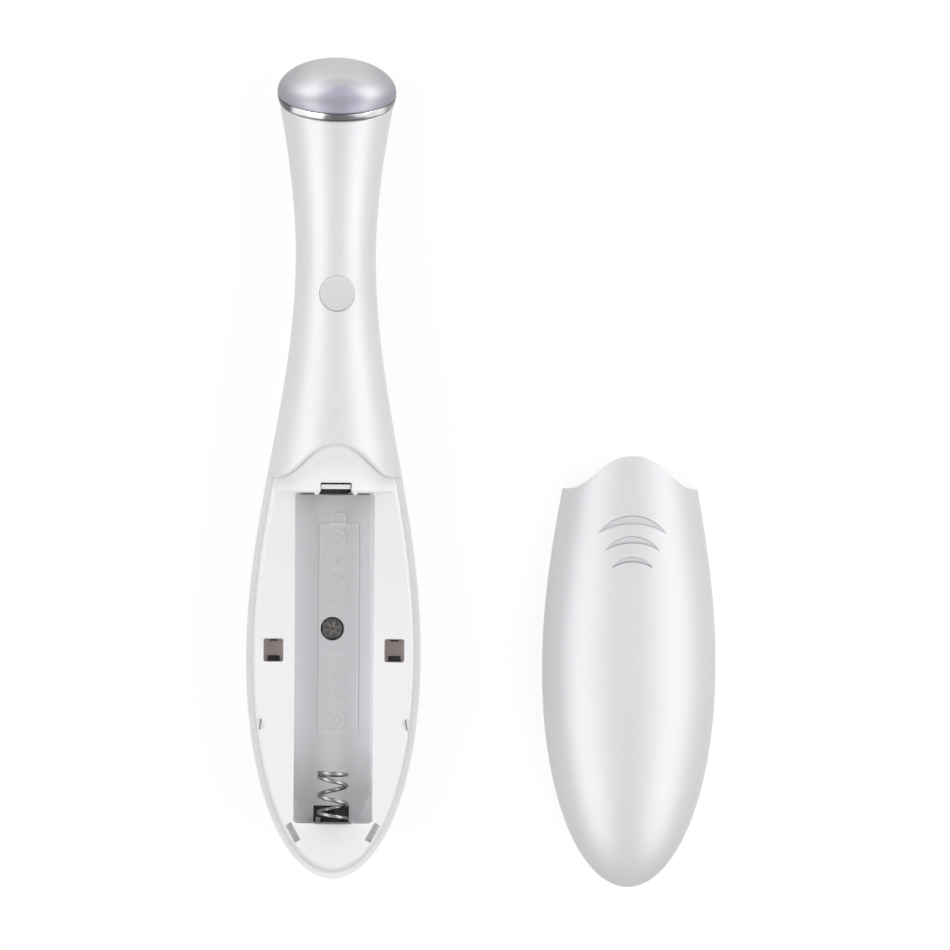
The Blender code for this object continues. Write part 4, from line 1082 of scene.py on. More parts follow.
cut(tray, arch_solid(TRAY_INSET + TONGUE_WALL, *hollow_ys, TRAY_BASE_Z - HOLLOW_OVER))
print("with its pocket walls:", len(tray.data.polygons))

# %% Pocket
POCKET_FOOT = 0.3 * MM
pocket_low = (-POCKET_HALF, -POCKET_END_AT)
pocket_high = (POCKET_HALF, POCKET_TOP_AT)
pocket = opening(pocket_low, pocket_high, POCKET_CORNER, FLOOR_Z, DECK_Z, LIP, POCKET_FOOT, plain_end=True)
cut(tray, shared(pocket, form_solid(TRAY_INSET + TRAY_WALL, LIMIT_END_AT)))
print("pocket", 2 * POCKET_HALF / MM, "mm wide,", (POCKET_TOP_AT + POCKET_END_AT) / MM, "mm long")

# %% [markdown]
# The deck has two windows that the cover's hooks snap into, with an undercut on their outer side,
# two half-round notches in its edge, and two short slanted slots at the butt for the cover's tabs.

# %% Windows and their shelves
WINDOW = (3.0 * MM, 3.5 * MM)
WINDOW_CORNER = 0.35 * MM
WINDOW_LIP = 0.14 * MM
STRIP_THICKNESS = 0.8 * MM
UNDERCUT = 0.7 * MM
SHELF_Z = PARTING_Z - 1.7 * MM
SHELF = (4.3 * MM, 4.6 * MM, 0.5 * MM)
SHELF_LAP = 0.15 * MM
SHELF_CLEAR = 0.05 * MM
SHELF_HOLE = (1.9 * MM, 0.85 * MM)
SHELF_SLIT = (1.25 * MM, 0.25 * MM)
HOLE_SHIFT = 0.15 * MM
HOLE_CLEAR = 0.1 * MM
SLIT_CLEAR = 0.14 * MM
CUT_DEEP = 1.0 * MM
window_edge = half_sizes(CATCH_AT, TRAY_INSET)[0] - STRIP
window_ys = (CATCH_AT - WINDOW[1] / 2, CATCH_AT + WINDOW[1] / 2)


def pierce_shelf(x, low_y, high_y, width):
    """Cut a small hole down through a shelf."""
    low = (x - width / 2, low_y, SHELF_Z - CUT_DEEP)
    cut(tray, block(low, (x + width / 2, high_y, SHELF_Z + HOLE_CLEAR)))


def cut_window(side):
    """Add a shelf, pierce it twice, and cut the window over it and the undercut for the cover's barb."""
    shelf_x = side * (POCKET_HALF + TRAY_WALL - SHELF_LAP)
    xs = sorted((shelf_x, shelf_x + side * SHELF[0]))
    ys = (CATCH_AT - SHELF[1] / 2, CATCH_AT + SHELF[1] / 2)
    cut(tray, block((xs[0], ys[0], SHELF_Z - SHELF[2]), (xs[1], ys[1], SHELF_Z)), "UNION")
    hole_x = side * (window_edge - WINDOW[0] / 2) + HOLE_SHIFT
    hole_y = window_ys[0] + HOLE_CLEAR
    slit_y = window_ys[1] - SLIT_CLEAR
    pierce_shelf(hole_x, hole_y, hole_y + SHELF_HOLE[1], SHELF_HOLE[0])
    pierce_shelf(hole_x, slit_y - SHELF_SLIT[1], slit_y, SHELF_SLIT[0])
    xs = sorted((side * (window_edge - WINDOW[0]), side * window_edge))
    low, high = zip(xs, window_ys)
    cut(tray, opening(low, high, WINDOW_CORNER, SHELF_Z + SHELF_CLEAR, DECK_Z, WINDOW_LIP))
    xs = sorted((side * (window_edge - UNDERCUT), side * (window_edge + UNDERCUT)))
    low, high = zip(xs, window_ys, (SHELF_Z + SHELF_CLEAR, DECK_Z - STRIP_THICKNESS))
    cut(tray, block(low, high))


print("windows from", (window_edge - WINDOW[0]) / MM, "to", window_edge / MM, "mm out")

# %% Notches and slots
DETENT_RADIUS = 0.9 * MM
DETENT_AT = -10.3 * MM
DETENT_DEPTH = 1.0 * MM
DETENT_LIP = 0.14 * MM
ROUND_SHARE = 0.999
SLIT = (0.18 * MM, 1.6 * MM, 0.5 * MM)
SLIT_IN = 0.22 * MM
SLIT_TURN = math.radians(9)
SLOT = (0.95 * MM, 3.0 * MM, 1.3 * MM)
SLOT_CORNER = 0.1 * MM
SLOT_LIP = 0.08 * MM


def cut_notch(side):
    """Cut a half-round notch in the deck's edge, and the fine slit in its floor."""
    x = side * half_sizes(DETENT_AT, TRAY_INSET)[0]
    low = (x - DETENT_RADIUS, DETENT_AT - DETENT_RADIUS)
    high = (x + DETENT_RADIUS, DETENT_AT + DETENT_RADIUS)
    cut(tray, opening(low, high, ROUND_SHARE * DETENT_RADIUS, DECK_Z - DETENT_DEPTH, DECK_Z, DETENT_LIP))
    low = (x - SLIT[0] / 2, DETENT_AT - SLIT[1] / 2, DECK_Z - DETENT_DEPTH - SLIT[2])
    slit = block(low, (low[0] + SLIT[0], low[1] + SLIT[1], DECK_Z))
    lean = Matrix.Rotation(side * SLIT_TURN, 4, Vector((0, 0, 1)))
    bmesh.ops.rotate(slit, verts=slit.verts, cent=(x - side * SLIT_IN, DETENT_AT, 0), matrix=lean)
    bmesh.ops.translate(slit, verts=slit.verts, vec=(-side * SLIT_IN, 0, 0))
    cut(tray, slit)


def cut_slot(side):
    """Cut a slanted slot at the butt, for one of the cover's tabs."""
    high = (SLOT[0] / 2, SLOT[1] / 2)
    slot = opening((-high[0], -high[1]), high, SLOT_CORNER, DECK_Z - SLOT[2], DECK_Z, SLOT_LIP)
    bmesh.ops.transform(slot, matrix=slot_place(side), verts=slot.verts)
    cut(tray, slot)


for side in (-1, 1):
    cut_window(side)
    cut_notch(side)
    cut_slot(side)
print("with its windows, notches and slots:", len(tray.data.polygons))

# %% [markdown]
# The tongue's end has a square notch where the folded top of a contact shows, with a small nub on
# each side of it. The pocket's floor has a window at the butt and a sink for the screw's head.

# %% Notch for the contact
NOTCH_HALF = 2.35 * MM
NOTCH_END_AT = POCKET_TOP_AT + 1.5 * MM
NOTCH_CORNER = 0.2 * MM
NOTCH_ROUND = 0.4 * MM
NOTCH_LIP = 0.34 * MM
NOTCH_DROP = 2.9 * MM
NOTCH_OVER = 1.0 * MM
CONTACT_YS = (POCKET_TOP_AT - 0.5 * MM, POCKET_TOP_AT + 0.75 * MM)
CONTACT_DROP = 3.5 * MM
CONTACT_LAP = 0.5 * MM
roof = PARTING_Z + half_sizes(POCKET_TOP_AT, TRAY_INSET)[1]
notch_floor = roof - NOTCH_DROP


def notch_outline(offset):
    """Half of the notch from above, its front corners rounded over, and then its mirror image."""
    corner = NOTCH_CORNER + offset
    front = (NOTCH_HALF + NOTCH_ROUND, POCKET_TOP_AT + NOTCH_ROUND)
    half = [(front[0], POCKET_TOP_AT - NOTCH_OVER)]
    half += reversed(curve_of(front, (NOTCH_ROUND - offset, NOTCH_ROUND - offset), 180, 270, 6))
    back = (NOTCH_HALF + offset - corner, NOTCH_END_AT + offset - corner)
    half += curve_of(back, (corner, corner), 0, 90, 4)
    return half + [(-x, y) for x, y in reversed(half)]


rings = [[Vector((x, y, notch_floor)) for x, y in notch_outline(0.0)]]
for angle in quarter(5):
    outline = notch_outline(NOTCH_LIP * (1.0 - math.cos(angle)))
    sink = NOTCH_LIP * (1.0 - math.sin(angle))
    rings.append([Vector((x, y, top_z(x, max(y, POCKET_TOP_AT), TRAY_INSET) - sink)) for x, y in outline])
rings.append([Vector((x, y, roof + NOTCH_OVER)) for x, y in notch_outline(NOTCH_LIP)])
cut(tray, lofted(rings))
low = (-NOTCH_HALF, CONTACT_YS[0], PARTING_Z - CONTACT_DROP)
cut(tray, block(low, (NOTCH_HALF, CONTACT_YS[1], notch_floor + CONTACT_LAP)))
print("notch floor", round(notch_floor / MM, 2), "mm up")

# %% Nubs beside the notch
NUB_RADIUS = 0.36 * MM
NUB_ROUND = 0.15 * MM
NUB_AT = (NOTCH_HALF + 0.55 * MM, POCKET_TOP_AT + 0.03 * MM)
NUB_SINK = 0.2 * MM
NUB_LOW = 14.16 * MM
nub_high = top_z(NUB_AT[0], POCKET_TOP_AT, TRAY_INSET) - NUB_SINK
profile = [(0.0, NUB_LOW), (NUB_RADIUS, NUB_LOW)]
profile += curve_of((NUB_RADIUS - NUB_ROUND, nub_high - NUB_ROUND), (NUB_ROUND, NUB_ROUND), 0, 90, 5)
profile += [(0.0, nub_high)]
for side in (-1, 1):
    nub = spun(profile, 32)
    bmesh.ops.translate(nub, verts=nub.verts, vec=(side * NUB_AT[0], NUB_AT[1], 0))
    cut(tray, nub, "UNION")
print("nubs from", NUB_LOW / MM, "to", round(nub_high / MM, 2), "mm up")

# %% Floor window and screw sink
FLOOR_WINDOW = (5.4 * MM, 2.6 * MM)
FLOOR_WINDOW_CLEAR = 0.02 * MM
FLOOR_WINDOW_DROP = 1.0 * MM
SCREW_HEAD = (1.7 * MM, 0.8 * MM)
SINK_PLAY = 0.07 * MM
SINK_ROUND = 0.15 * MM
SINK_OVER = 0.3 * MM
low = (-FLOOR_WINDOW[0] / 2, -POCKET_END_AT + FLOOR_WINDOW_CLEAR, 0.0)
high = (FLOOR_WINDOW[0] / 2, -POCKET_END_AT + FLOOR_WINDOW[1], PARTING_Z - FLOOR_WINDOW_DROP)
cut(tray, block(low, high))
seat = FLOOR_Z - SCREW_HEAD[1] - GAP
sink_radius = SCREW_HEAD[0] + SINK_PLAY
profile = [(0.0, seat), (sink_radius, seat), (sink_radius, FLOOR_Z - SINK_ROUND)]
for angle in quarter(4)[1:]:
    out = SINK_ROUND * (1.0 - math.cos(angle))
    down = SINK_ROUND * (1.0 - math.sin(angle))
    profile.append((sink_radius + out, FLOOR_Z - down))
profile += [(sink_radius + SINK_ROUND, FLOOR_Z + SINK_OVER), (0.0, FLOOR_Z + SINK_OVER)]
sink = spun(profile, 72)
bmesh.ops.translate(sink, verts=sink.verts, vec=(0, SCREW_AT, 0))
cut(tray, sink)
even_shading(tray)
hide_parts("battery_tray")
print("tray faces:", len(tray.data.polygons))

# %% [markdown]
# The tool that moulds the tray is eroded where the cell lies, so the pocket comes out duller than the
# deck. Its colour is also greyer, as painted shade for the shade deep in the pocket. The little shelves
# under the windows are painted warmer and darker, as painted shade for the shade of the shell.

# %% Painted shade in the pocket and on the shelves
SHADED_POCKET, SHADED_SHELVES = 1, 2
ZONE_PLAY = 0.05 * MM
ZONE_END_PLAY = 0.02 * MM
ZONE_DROP = 0.5 * MM
ZONE_LIP = 0.1 * MM
SHELF_ZONE = (2.3 * MM, 1.8 * MM)
tray.data.materials.append(pocket_painted_shade)
tray.data.materials.append(shelf_painted_shade)
for face in tray.data.polygons:
    x, y, z = face.center
    lengthwise = -POCKET_END_AT - ZONE_PLAY < y < POCKET_TOP_AT + ZONE_END_PLAY
    in_pocket = lengthwise and abs(x) < POCKET_HALF + ZONE_PLAY
    from_window = abs(abs(x) - window_edge + WINDOW[0] / 2)
    in_window = from_window < SHELF_ZONE[0] and abs(y - CATCH_AT) < SHELF_ZONE[1]
    # Painted shade: faces deep in the pocket and on the shelves take the greyer and the warmer copies.
    if in_pocket and FLOOR_Z - ZONE_DROP < z < DECK_Z - LIP - ZONE_LIP:
        face.material_index = SHADED_POCKET
    elif in_window and SHELF_Z - ZONE_LIP < z < DECK_Z - ZONE_DROP:
        face.material_index = SHADED_SHELVES
print("pocket faces:", sum(face.material_index == SHADED_POCKET for face in tray.data.polygons))

# %% [markdown]
# ## What is in the pocket
# A cell needs two contacts: a flat plate with a dimple at one end, whose folded top shows in the
# tongue's notch, and a wire spring at the other. Between them a dark screw holds the tray down, and
# the floor has thin raised marks that show how the cell goes in.

# %% Small shapes
WIRE_STEPS = 4


def slab(xs, ys, zs):
    """A box from its three spans, each as (from, to)."""
    return block(*zip(xs, ys, zs))


def softened(shape, width, segments=2):
    """A block with all its edges softly broken."""
    edges = list(shape.edges)
    bmesh.ops.bevel(
        shape, geom=edges, offset=width, affect="EDGES", segments=segments, profile=0.5, material=-1
    )
    return shape


def gathered(shapes):
    """Several lumps as one bmesh, for a piece that is made of separate lumps."""
    whole = bmesh.new()
    for shape in shapes:
        mesh = bpy.data.meshes.new("lump")
        shape.to_mesh(mesh)
        shape.free()
        whole.from_mesh(mesh)
        bpy.data.meshes.remove(mesh)
    return whole


def meshed(curve):
    """A curve or a text, turned into a bmesh."""
    made = bpy.data.objects.new(curve.name, curve)
    mesh = bpy.data.meshes.new_from_object(made)
    shape = bmesh.new()
    shape.from_mesh(mesh)
    bpy.data.objects.remove(made)
    bpy.data.meshes.remove(mesh)
    return shape


def wire(points, radius):
    """A round wire through points: a curve with a bevel, turned into a mesh."""
    line = bpy.data.curves.new("wire", "CURVE")
    line.dimensions = "3D"
    line.bevel_depth = radius
    line.bevel_resolution = WIRE_STEPS
    line.use_fill_caps = True
    spline = line.splines.new("POLY")
    spline.points.add(len(points) - 1)
    for point, place in zip(spline.points, points):
        point.co = (*place, 1.0)
    shape = meshed(line)
    bmesh.ops.remove_doubles(shape, verts=shape.verts, dist=MERGE)
    bmesh.ops.recalc_face_normals(shape, faces=shape.faces)
    return shape


print("helpers: slab, softened, gathered, meshed, wire")

# %% [markdown]
# The spring is wound from wire with a slightly open pitch, and its last turn lies almost flat for the
# cell to press on. The height of each half turn is listed, and the wire runs smoothly through them.

# %% Contact spring
CELL_RADIUS = 5.25 * MM
CELL_AXIS_Z = FLOOR_Z + CELL_RADIUS
SPRING_RADIUS = 2.08 * MM
WIRE_RADIUS = 0.31 * MM
HALF_TURNS_AT = [-24.58, -23.62, -22.38, -21.0, -19.55, -18.12, -17.86, -17.55]
FIRST_TURN = 90
LEAD_IN = 60
LEAD_OUT = 20
TURN_STEP = 9
SMOOTHING = (-40, -20, 0, 20, 40)


def height_at(turn):
    """Height of the wire at a turn in degrees, between the listed half turns."""
    share = min(max((turn - FIRST_TURN) / 180, 0.0), len(HALF_TURNS_AT) - 1.001)
    index = int(share)
    low, high = HALF_TURNS_AT[index], HALF_TURNS_AT[index + 1]
    return (low + (high - low) * (share - index)) * MM


path = []
last_turn = FIRST_TURN + 180 * (len(HALF_TURNS_AT) - 1)
for turn in range(FIRST_TURN - LEAD_IN, last_turn + LEAD_OUT, TURN_STEP):
    y = sum(height_at(turn + shift) for shift in SMOOTHING) / len(SMOOTHING)
    angle = math.radians(turn)
    path.append((SPRING_RADIUS * math.sin(angle), y, CELL_AXIS_Z - SPRING_RADIUS * math.cos(angle)))
# Painted shade: the spring's steel is darker than the contacts' steel.
spring = keep("wire_spring", wire(path, WIRE_RADIUS), "wand", painted_shade_spring_steel, crease=60)
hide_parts("contact_spring")
print("spring from", round(path[0][1] / MM, 2), "to", round(path[-1][1] / MM, 2), "mm")

# %% [markdown]
# The contacts are cut and bent from thin plated sheet. Each is made of thin slabs with softly broken
# edges, joined where they meet. Their plating is painted darker where they lie deep, as painted shade,
# and lighter on the fold, as a painted highlight. A black pad behind the window in the floor is
# painted shade, put where there is only shade.

# %% Negative contact
PLATE_SOFT = 0.05 * MM
NEGATIVE_YS = (-POCKET_END_AT + 0.03 * MM, -POCKET_END_AT + 0.2 * MM)
NEGATIVE_XS = (-2.75 * MM, 2.75 * MM)
NEGATIVE_ZS = (6.6 * MM, 13.0 * MM)
TAIL_XS = (-2.4 * MM, -1.7 * MM)
TAIL_ZS = (4.1 * MM, 6.7 * MM)
TAIL_OUT = 0.7 * MM
plate = softened(slab(NEGATIVE_XS, NEGATIVE_YS, NEGATIVE_ZS), PLATE_SOFT)
tail = softened(slab(TAIL_XS, (NEGATIVE_YS[0], NEGATIVE_YS[1] + TAIL_OUT), TAIL_ZS), PLATE_SOFT)
# Painted shade: the plate and its tail take the darker copy of the steel.
negative = keep("negative_plate", plate, "wand", painted_shade_steel)
cut(negative, tail, "UNION")
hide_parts("negative_contact")
print("negative plate", round((NEGATIVE_YS[1] - NEGATIVE_YS[0]) / MM, 2), "mm thick")

# %% Black pad under the floor's window, as painted shade
SHADE_PAD_XS = (-3.2 * MM, 3.2 * MM)
SHADE_PAD_YS = (-25.6 * MM, -21.9 * MM)
SHADE_PAD_ZS = (0.0, 3.9 * MM)
# Painted shade: a black pad put where there is only shade behind the window.
shade_pad_shape = shared(slab(SHADE_PAD_XS, SHADE_PAD_YS, SHADE_PAD_ZS), form_solid(SHELL_WALL, FORM_END_AT))
shade_pad_piece = keep("painted_shade_pad", shade_pad_shape, "wand", black)
print("pad faces:", len(shade_pad_piece.data.polygons))

# %% Positive contact
PLATE_FACE_AT = 24.40 * MM
PLATE_BACK_AT = 24.56 * MM
PLATE_IN = 0.02 * MM
POSITIVE_XS = (-5.2 * MM, 5.2 * MM)
POSITIVE_ZS = (5.65 * MM, 14.1 * MM)
LEG_XS = (-2.24 * MM, 2.24 * MM)
LEG_BACK_AT = 25.42 * MM
FOOT_ZS = (6.55 * MM, 6.75 * MM)
DIMPLE = (2.2 * MM, 0.18 * MM)
DIMPLE_BASE = -0.05 * MM
plate = softened(slab(POSITIVE_XS, (PLATE_FACE_AT, PLATE_BACK_AT), POSITIVE_ZS), PLATE_SOFT)
# Painted shade: the plate takes the darkest copy of its plating; its face towards the cell keeps the contact
# steel.
positive = keep("positive_plate", plate, "wand", dark_nickel)
cut(positive, slab(LEG_XS, (PLATE_FACE_AT + PLATE_IN, LEG_BACK_AT), FOOT_ZS), "UNION")
dimple = spun(curve_of((0, 0), DIMPLE, 90, 0, 10) + [(DIMPLE[0], DIMPLE_BASE), (0.0, DIMPLE_BASE)], 64)
place = Matrix.Translation((0, PLATE_FACE_AT + PLATE_IN, CELL_AXIS_Z)) @ Matrix.Rotation(math.pi / 2, 4, "X")
bmesh.ops.transform(dimple, matrix=place, verts=dimple.verts)
cut(positive, dimple, "UNION")
# Only the face towards the cell is left out of the painted shade.
positive.data.materials.append(steel)
for face in positive.data.polygons:
    if face.normal.y < -0.5 and face.center.y < PLATE_BACK_AT:
        face.material_index = 1
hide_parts("positive_contact")
print("positive plate faces:", len(positive.data.polygons))

# %% Fold of the positive contact
FOLD_SOFT = 0.1 * MM
LEG = ((25.27 * MM, LEG_BACK_AT), (6.75 * MM, 15.0 * MM))
FOLDS = [((25.24 * MM, 25.98 * MM), (14.95 * MM, 15.25 * MM))]
FOLDS += [((25.66 * MM, 25.99 * MM), (15.2 * MM, 15.5 * MM))]
lumps = [slab(LEG_XS, *LEG)]
lumps += [softened(slab(LEG_XS, *spans), FOLD_SOFT, 3) for spans in FOLDS]
# Painted highlight: the fold takes a lighter copy of the same plating.
fold = keep("positive_fold", gathered(lumps), "wand", painted_highlight_plate)
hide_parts("positive_contact")
print("fold faces:", len(fold.data.polygons))

# %% [markdown]
# The screw's head has a low crown and a star-shaped recess. The recess is cut with three wedges
# turned through each other, because a flat floor would only mirror the white room as the crown does.
# Their sloping walls are painted paler than the head, as painted glints. A small cone stays in the middle.

# %% Tray screw
SHANK_RADIUS = 0.8 * MM
HEAD_FOOT = (1.55 * MM, 0.12 * MM)
SCREW_CROWN = 0.4 * MM
SCREW_SINK = 0.42 * MM
screw_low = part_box("tray_screw")[0].z
head_low = FLOOR_Z - SCREW_HEAD[1]
profile = [(0.0, screw_low), (SHANK_RADIUS, screw_low), (SHANK_RADIUS, head_low), (HEAD_FOOT[0], head_low)]
profile += [(SCREW_HEAD[0], head_low + HEAD_FOOT[1])]
profile += curve_of((0.0, FLOOR_Z - SCREW_SINK), (SCREW_HEAD[0], SCREW_CROWN), 0, 90, 12)
screw = keep("star_screw", spun(profile, 72), "wand", dark_nickel)
print("screw from", round(screw_low / MM, 2), "to", round((FLOOR_Z - SCREW_SINK + SCREW_CROWN) / MM, 2), "mm")

# %% Star recess
STAR_TURNS = (15, 75, 135)
ARM_XS = (-1.2 * MM, 1.2 * MM)
ARM_YS = (-0.26 * MM, 0.26 * MM)
ARM_ZS = (FLOOR_Z - 0.5 * MM, FLOOR_Z + 0.1 * MM)
CORE = [(0.0, 0.55 * MM), (0.42 * MM, 0.55 * MM), (0.2 * MM, 0.1 * MM), (0.0, 0.06 * MM)]
GLINT_ZONE = (1.3 * MM, 0.6 * MM)
GLINT_SLOPE = 0.9
for turn in STAR_TURNS:
    arm = slab(ARM_XS, ARM_YS, ARM_ZS)
    for vert in arm.verts:
        if vert.co.z < FLOOR_Z:
            vert.co.y = 0.0
    bmesh.ops.remove_doubles(arm, verts=arm.verts, dist=MERGE)
    bmesh.ops.rotate(arm, verts=arm.verts, cent=(0, 0, 0), matrix=Matrix.Rotation(math.radians(turn), 4, "Z"))
    cut(screw, arm)
cut(screw, spun([(radius, FLOOR_Z - depth) for radius, depth in CORE], 24), "UNION")
# Painted glints: the star's sloping walls get the paler plating.
screw.data.materials.append(painted_glint_plate)
for face in screw.data.polygons:
    x, y, z = face.center
    if math.hypot(x, y) < GLINT_ZONE[0] and z > FLOOR_Z - GLINT_ZONE[1] and face.normal.z < GLINT_SLOPE:
        face.material_index = 1
screw.data.transform(Matrix.Translation((0, SCREW_AT, 0)))
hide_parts("tray_screw")
print("screw faces:", len(screw.data.polygons))

# %% [markdown]
# The raised marks are the ones that every battery pocket has: the outline of a cell with its nub, its
# size and voltage, and a plus and a minus in rings. They stand 0.16 mm above the floor.

# %% Raised marks
MARK_LINE = 0.2 * MM
MARK_LOW = FLOOR_Z - 0.03 * MM
MARK_HIGH = FLOOR_Z + 0.16 * MM
MARK_RISE = MARK_HIGH - MARK_LOW
LETTER_SPACE = 1.2
LETTER_THINNING = -0.022
LETTER_MERGE = 0.0001


def raised_frame(low, high):
    """The outline of a rectangle as a thin raised line: a face, inset, its middle taken out."""
    shape = bmesh.new()
    size = (high[0] - low[0], high[1] - low[1])
    centre = ((high[0] + low[0]) / 2, (high[1] + low[1]) / 2, MARK_LOW)
    place = Matrix.Translation(centre) @ Matrix.Diagonal((*size, 1.0, 1.0))
    bmesh.ops.create_grid(shape, x_segments=1, y_segments=1, size=0.5, matrix=place)
    whole = list(shape.faces)
    bmesh.ops.inset_region(shape, faces=whole, thickness=MARK_LINE, use_even_offset=True, use_boundary=True)
    bmesh.ops.delete(shape, geom=whole, context="FACES_ONLY")
    return raised(shape, MARK_RISE)


def raised_ring(x, y, radius):
    """A thin raised ring."""
    inner, outer = radius - MARK_LINE / 2, radius + MARK_LINE / 2
    ring = spun([(inner, MARK_LOW), (outer, MARK_LOW), (outer, MARK_HIGH), (inner, MARK_HIGH)], 48)
    bmesh.ops.translate(ring, verts=ring.verts, vec=(x, y, 0))
    return ring


def raised_bar(x, y, width, length):
    """A thin raised bar round its middle."""
    return block((x - width / 2, y - length / 2, MARK_LOW), (x + width / 2, y + length / 2, MARK_HIGH))


def raised_words(words, x, top_y, low_y, height):
    """Letters that read downwards: text made a mesh, fitted to a place, and raised."""
    text = bpy.data.curves.new("words", "FONT")
    text.body = words
    text.space_character = LETTER_SPACE
    text.offset = LETTER_THINNING
    shape = meshed(text)
    bmesh.ops.remove_doubles(shape, verts=shape.verts, dist=LETTER_MERGE)
    xs = [vert.co.x for vert in shape.verts]
    ys = [vert.co.y for vert in shape.verts]
    scale = Matrix.Diagonal(((top_y - low_y) / (max(xs) - min(xs)), height / (max(ys) - min(ys)), 1.0, 1.0))
    centre = Matrix.Translation((-(max(xs) + min(xs)) / 2, -(max(ys) + min(ys)) / 2, 0))
    turned = Matrix.Translation((x, (top_y + low_y) / 2, MARK_LOW)) @ Matrix.Rotation(-math.pi / 2, 4, "Z")
    bmesh.ops.transform(shape, matrix=turned @ scale @ centre, verts=shape.verts)
    return raised(shape, MARK_RISE)


print("marks stand", round(MARK_RISE / MM, 2), "mm high with their foot")

# %% Cell marks
MARK_X = 1.05 * MM
SIGN_X = MARK_X - 0.3 * MM
SIGN_YS = (17.95 * MM, -9.6 * MM)
RING_RADIUS = 1.12 * MM
SIGN_ARM = 1.1 * MM
CELL_TOP_AT = 19.95 * MM
LETTER_HEIGHT = 2.4 * MM
WORDS = {"AAA": (15.3 * MM, 7.5 * MM), "1.5V": (0.4 * MM, -7.0 * MM)}
lumps = [raised_frame((MARK_X - 3.1 * MM, -11.6 * MM), (MARK_X + 2.87 * MM, CELL_TOP_AT))]
lumps.append(raised_frame((SIGN_X - 1.2 * MM, CELL_TOP_AT), (SIGN_X + 1.2 * MM, 21.6 * MM)))
lumps += [raised_ring(SIGN_X, y, RING_RADIUS) for y in SIGN_YS]
lumps.append(raised_bar(SIGN_X, SIGN_YS[0], MARK_LINE, SIGN_ARM))
half_arm = (SIGN_ARM - MARK_LINE) / 2
for side in (-1, 1):
    lumps.append(raised_bar(SIGN_X + side * (SIGN_ARM + MARK_LINE) / 4, SIGN_YS[0], half_arm, MARK_LINE))
lumps.append(raised_bar(SIGN_X, SIGN_YS[1], MARK_LINE, SIGN_ARM))
lumps += [raised_words(words, SIGN_X, *ys, LETTER_HEIGHT) for words, ys in WORDS.items()]
marks_piece = keep("cell_marks", gathered(lumps), "wand", mark_white, crease=20)
print("mark faces:", len(marks_piece.data.polygons))

# %% [markdown]
# ## The pieces inside
# The motor, the board, the switch and the leads keep the shapes of their solids. Each gets the finish
# that it has in such a wand, so that it looks right when the shells are taken off.

# %% Finishes of the inner pieces
inner = {
    "head_collar": white,
    "circuit_board": board_green,
    "switch_body": black,
    "switch_plunger": steel,
    "motor_can": steel,
    "motor_end_cap": black,
    "motor_shaft": steel,
    "eccentric_weight": dark_nickel,
    "lead_positive": red,
    "lead_negative": black,
    "motor_lead_left": red,
    "motor_lead_right": black,
}
for name, finish in inner.items():
    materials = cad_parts[name].data.materials
    if not materials:
        materials.append(None)
    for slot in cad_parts[name].material_slots:
        slot.link = "OBJECT"
        slot.material = finish
print("inner pieces finished:", len(inner))

# %% [markdown]
# ## Floor and surroundings
# The photograph has a plain white ground. The floor is white by its own colour and by a little
# emission that only camera, glossy and transmission rays see, so it stays white without any more
# light on the object, and still keeps a soft shadow. From below it is see-through.


# %% Rays that see the background
def background_rays(tree):
    """1 for camera, glossy and transmission rays, and 0 for the diffuse rays that light the object."""
    path = tree.nodes.new("ShaderNodeLightPath")
    seen = maths(tree, "MAXIMUM", path.outputs["Is Camera Ray"], path.outputs["Is Glossy Ray"])
    return maths(tree, "MAXIMUM", seen, path.outputs["Is Transmission Ray"])


print("background rays: camera, glossy, transmission")

# %% Floor
FLOOR_RADIUS = 2.2
FLOOR_DROP = 0.02 * MM
FLOOR_BOUNCE = 0.4
FLOOR_TONE = 0.25
FLOOR_GLOW = 0.80


def matt(tree, tone):
    """A matt shader in a plain grey."""
    node = tree.nodes.new("ShaderNodeBsdfDiffuse")
    node.inputs["Color"].default_value = (tone, tone, tone, 1.0)
    return node.outputs[0]


def mixed(tree, mask, first, second):
    """The first shader where a mask is 0, and the second where it is 1."""
    node = tree.nodes.new("ShaderNodeMixShader")
    tree.links.new(mask, node.inputs["Fac"])
    tree.links.new(first, node.inputs[1])
    tree.links.new(second, node.inputs[2])
    return node.outputs[0]


shape = bmesh.new()
bmesh.ops.create_circle(shape, cap_ends=True, segments=96, radius=FLOOR_RADIUS)
bmesh.ops.translate(shape, verts=shape.verts, vec=(0, 0, -FLOOR_DROP))
floor_finish = bpy.data.materials.new("white_table")
floor_finish.use_nodes = True
tree = floor_finish.node_tree
tree.nodes.clear()
glow = tree.nodes.new("ShaderNodeEmission")
glow.inputs["Strength"].default_value = FLOOR_GLOW
lit = tree.nodes.new("ShaderNodeAddShader")
tree.links.new(matt(tree, FLOOR_TONE), lit.inputs[0])
tree.links.new(glow.outputs[0], lit.inputs[1])
by_ray = mixed(tree, background_rays(tree), matt(tree, FLOOR_BOUNCE), lit.outputs[0])
below = tree.nodes.new("ShaderNodeNewGeometry").outputs["Backfacing"]
by_side = mixed(tree, below, by_ray, tree.nodes.new("ShaderNodeBsdfTransparent").outputs[0])
tree.links.new(by_side, tree.nodes.new("ShaderNodeOutputMaterial").inputs["Surface"])
floor = keep("white_floor", shape, None, floor_finish)
floor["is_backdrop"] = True
print("floor radius:", FLOOR_RADIUS)

# %% World
SKY_LIGHT = 0.22
world = bpy.data.worlds.new("white_room")
bpy.context.scene.world = world
world.use_nodes = True
tree = world.node_tree
sky = tree.nodes["Background"]
strength = value_between(tree, background_rays(tree), SKY_LIGHT, 1.0)
sky.inputs["Color"].default_value = (1.0, 1.0, 1.0, 1.0)
tree.links.new(strength, sky.inputs["Strength"])
print("diffuse rays see the room at", SKY_LIGHT)

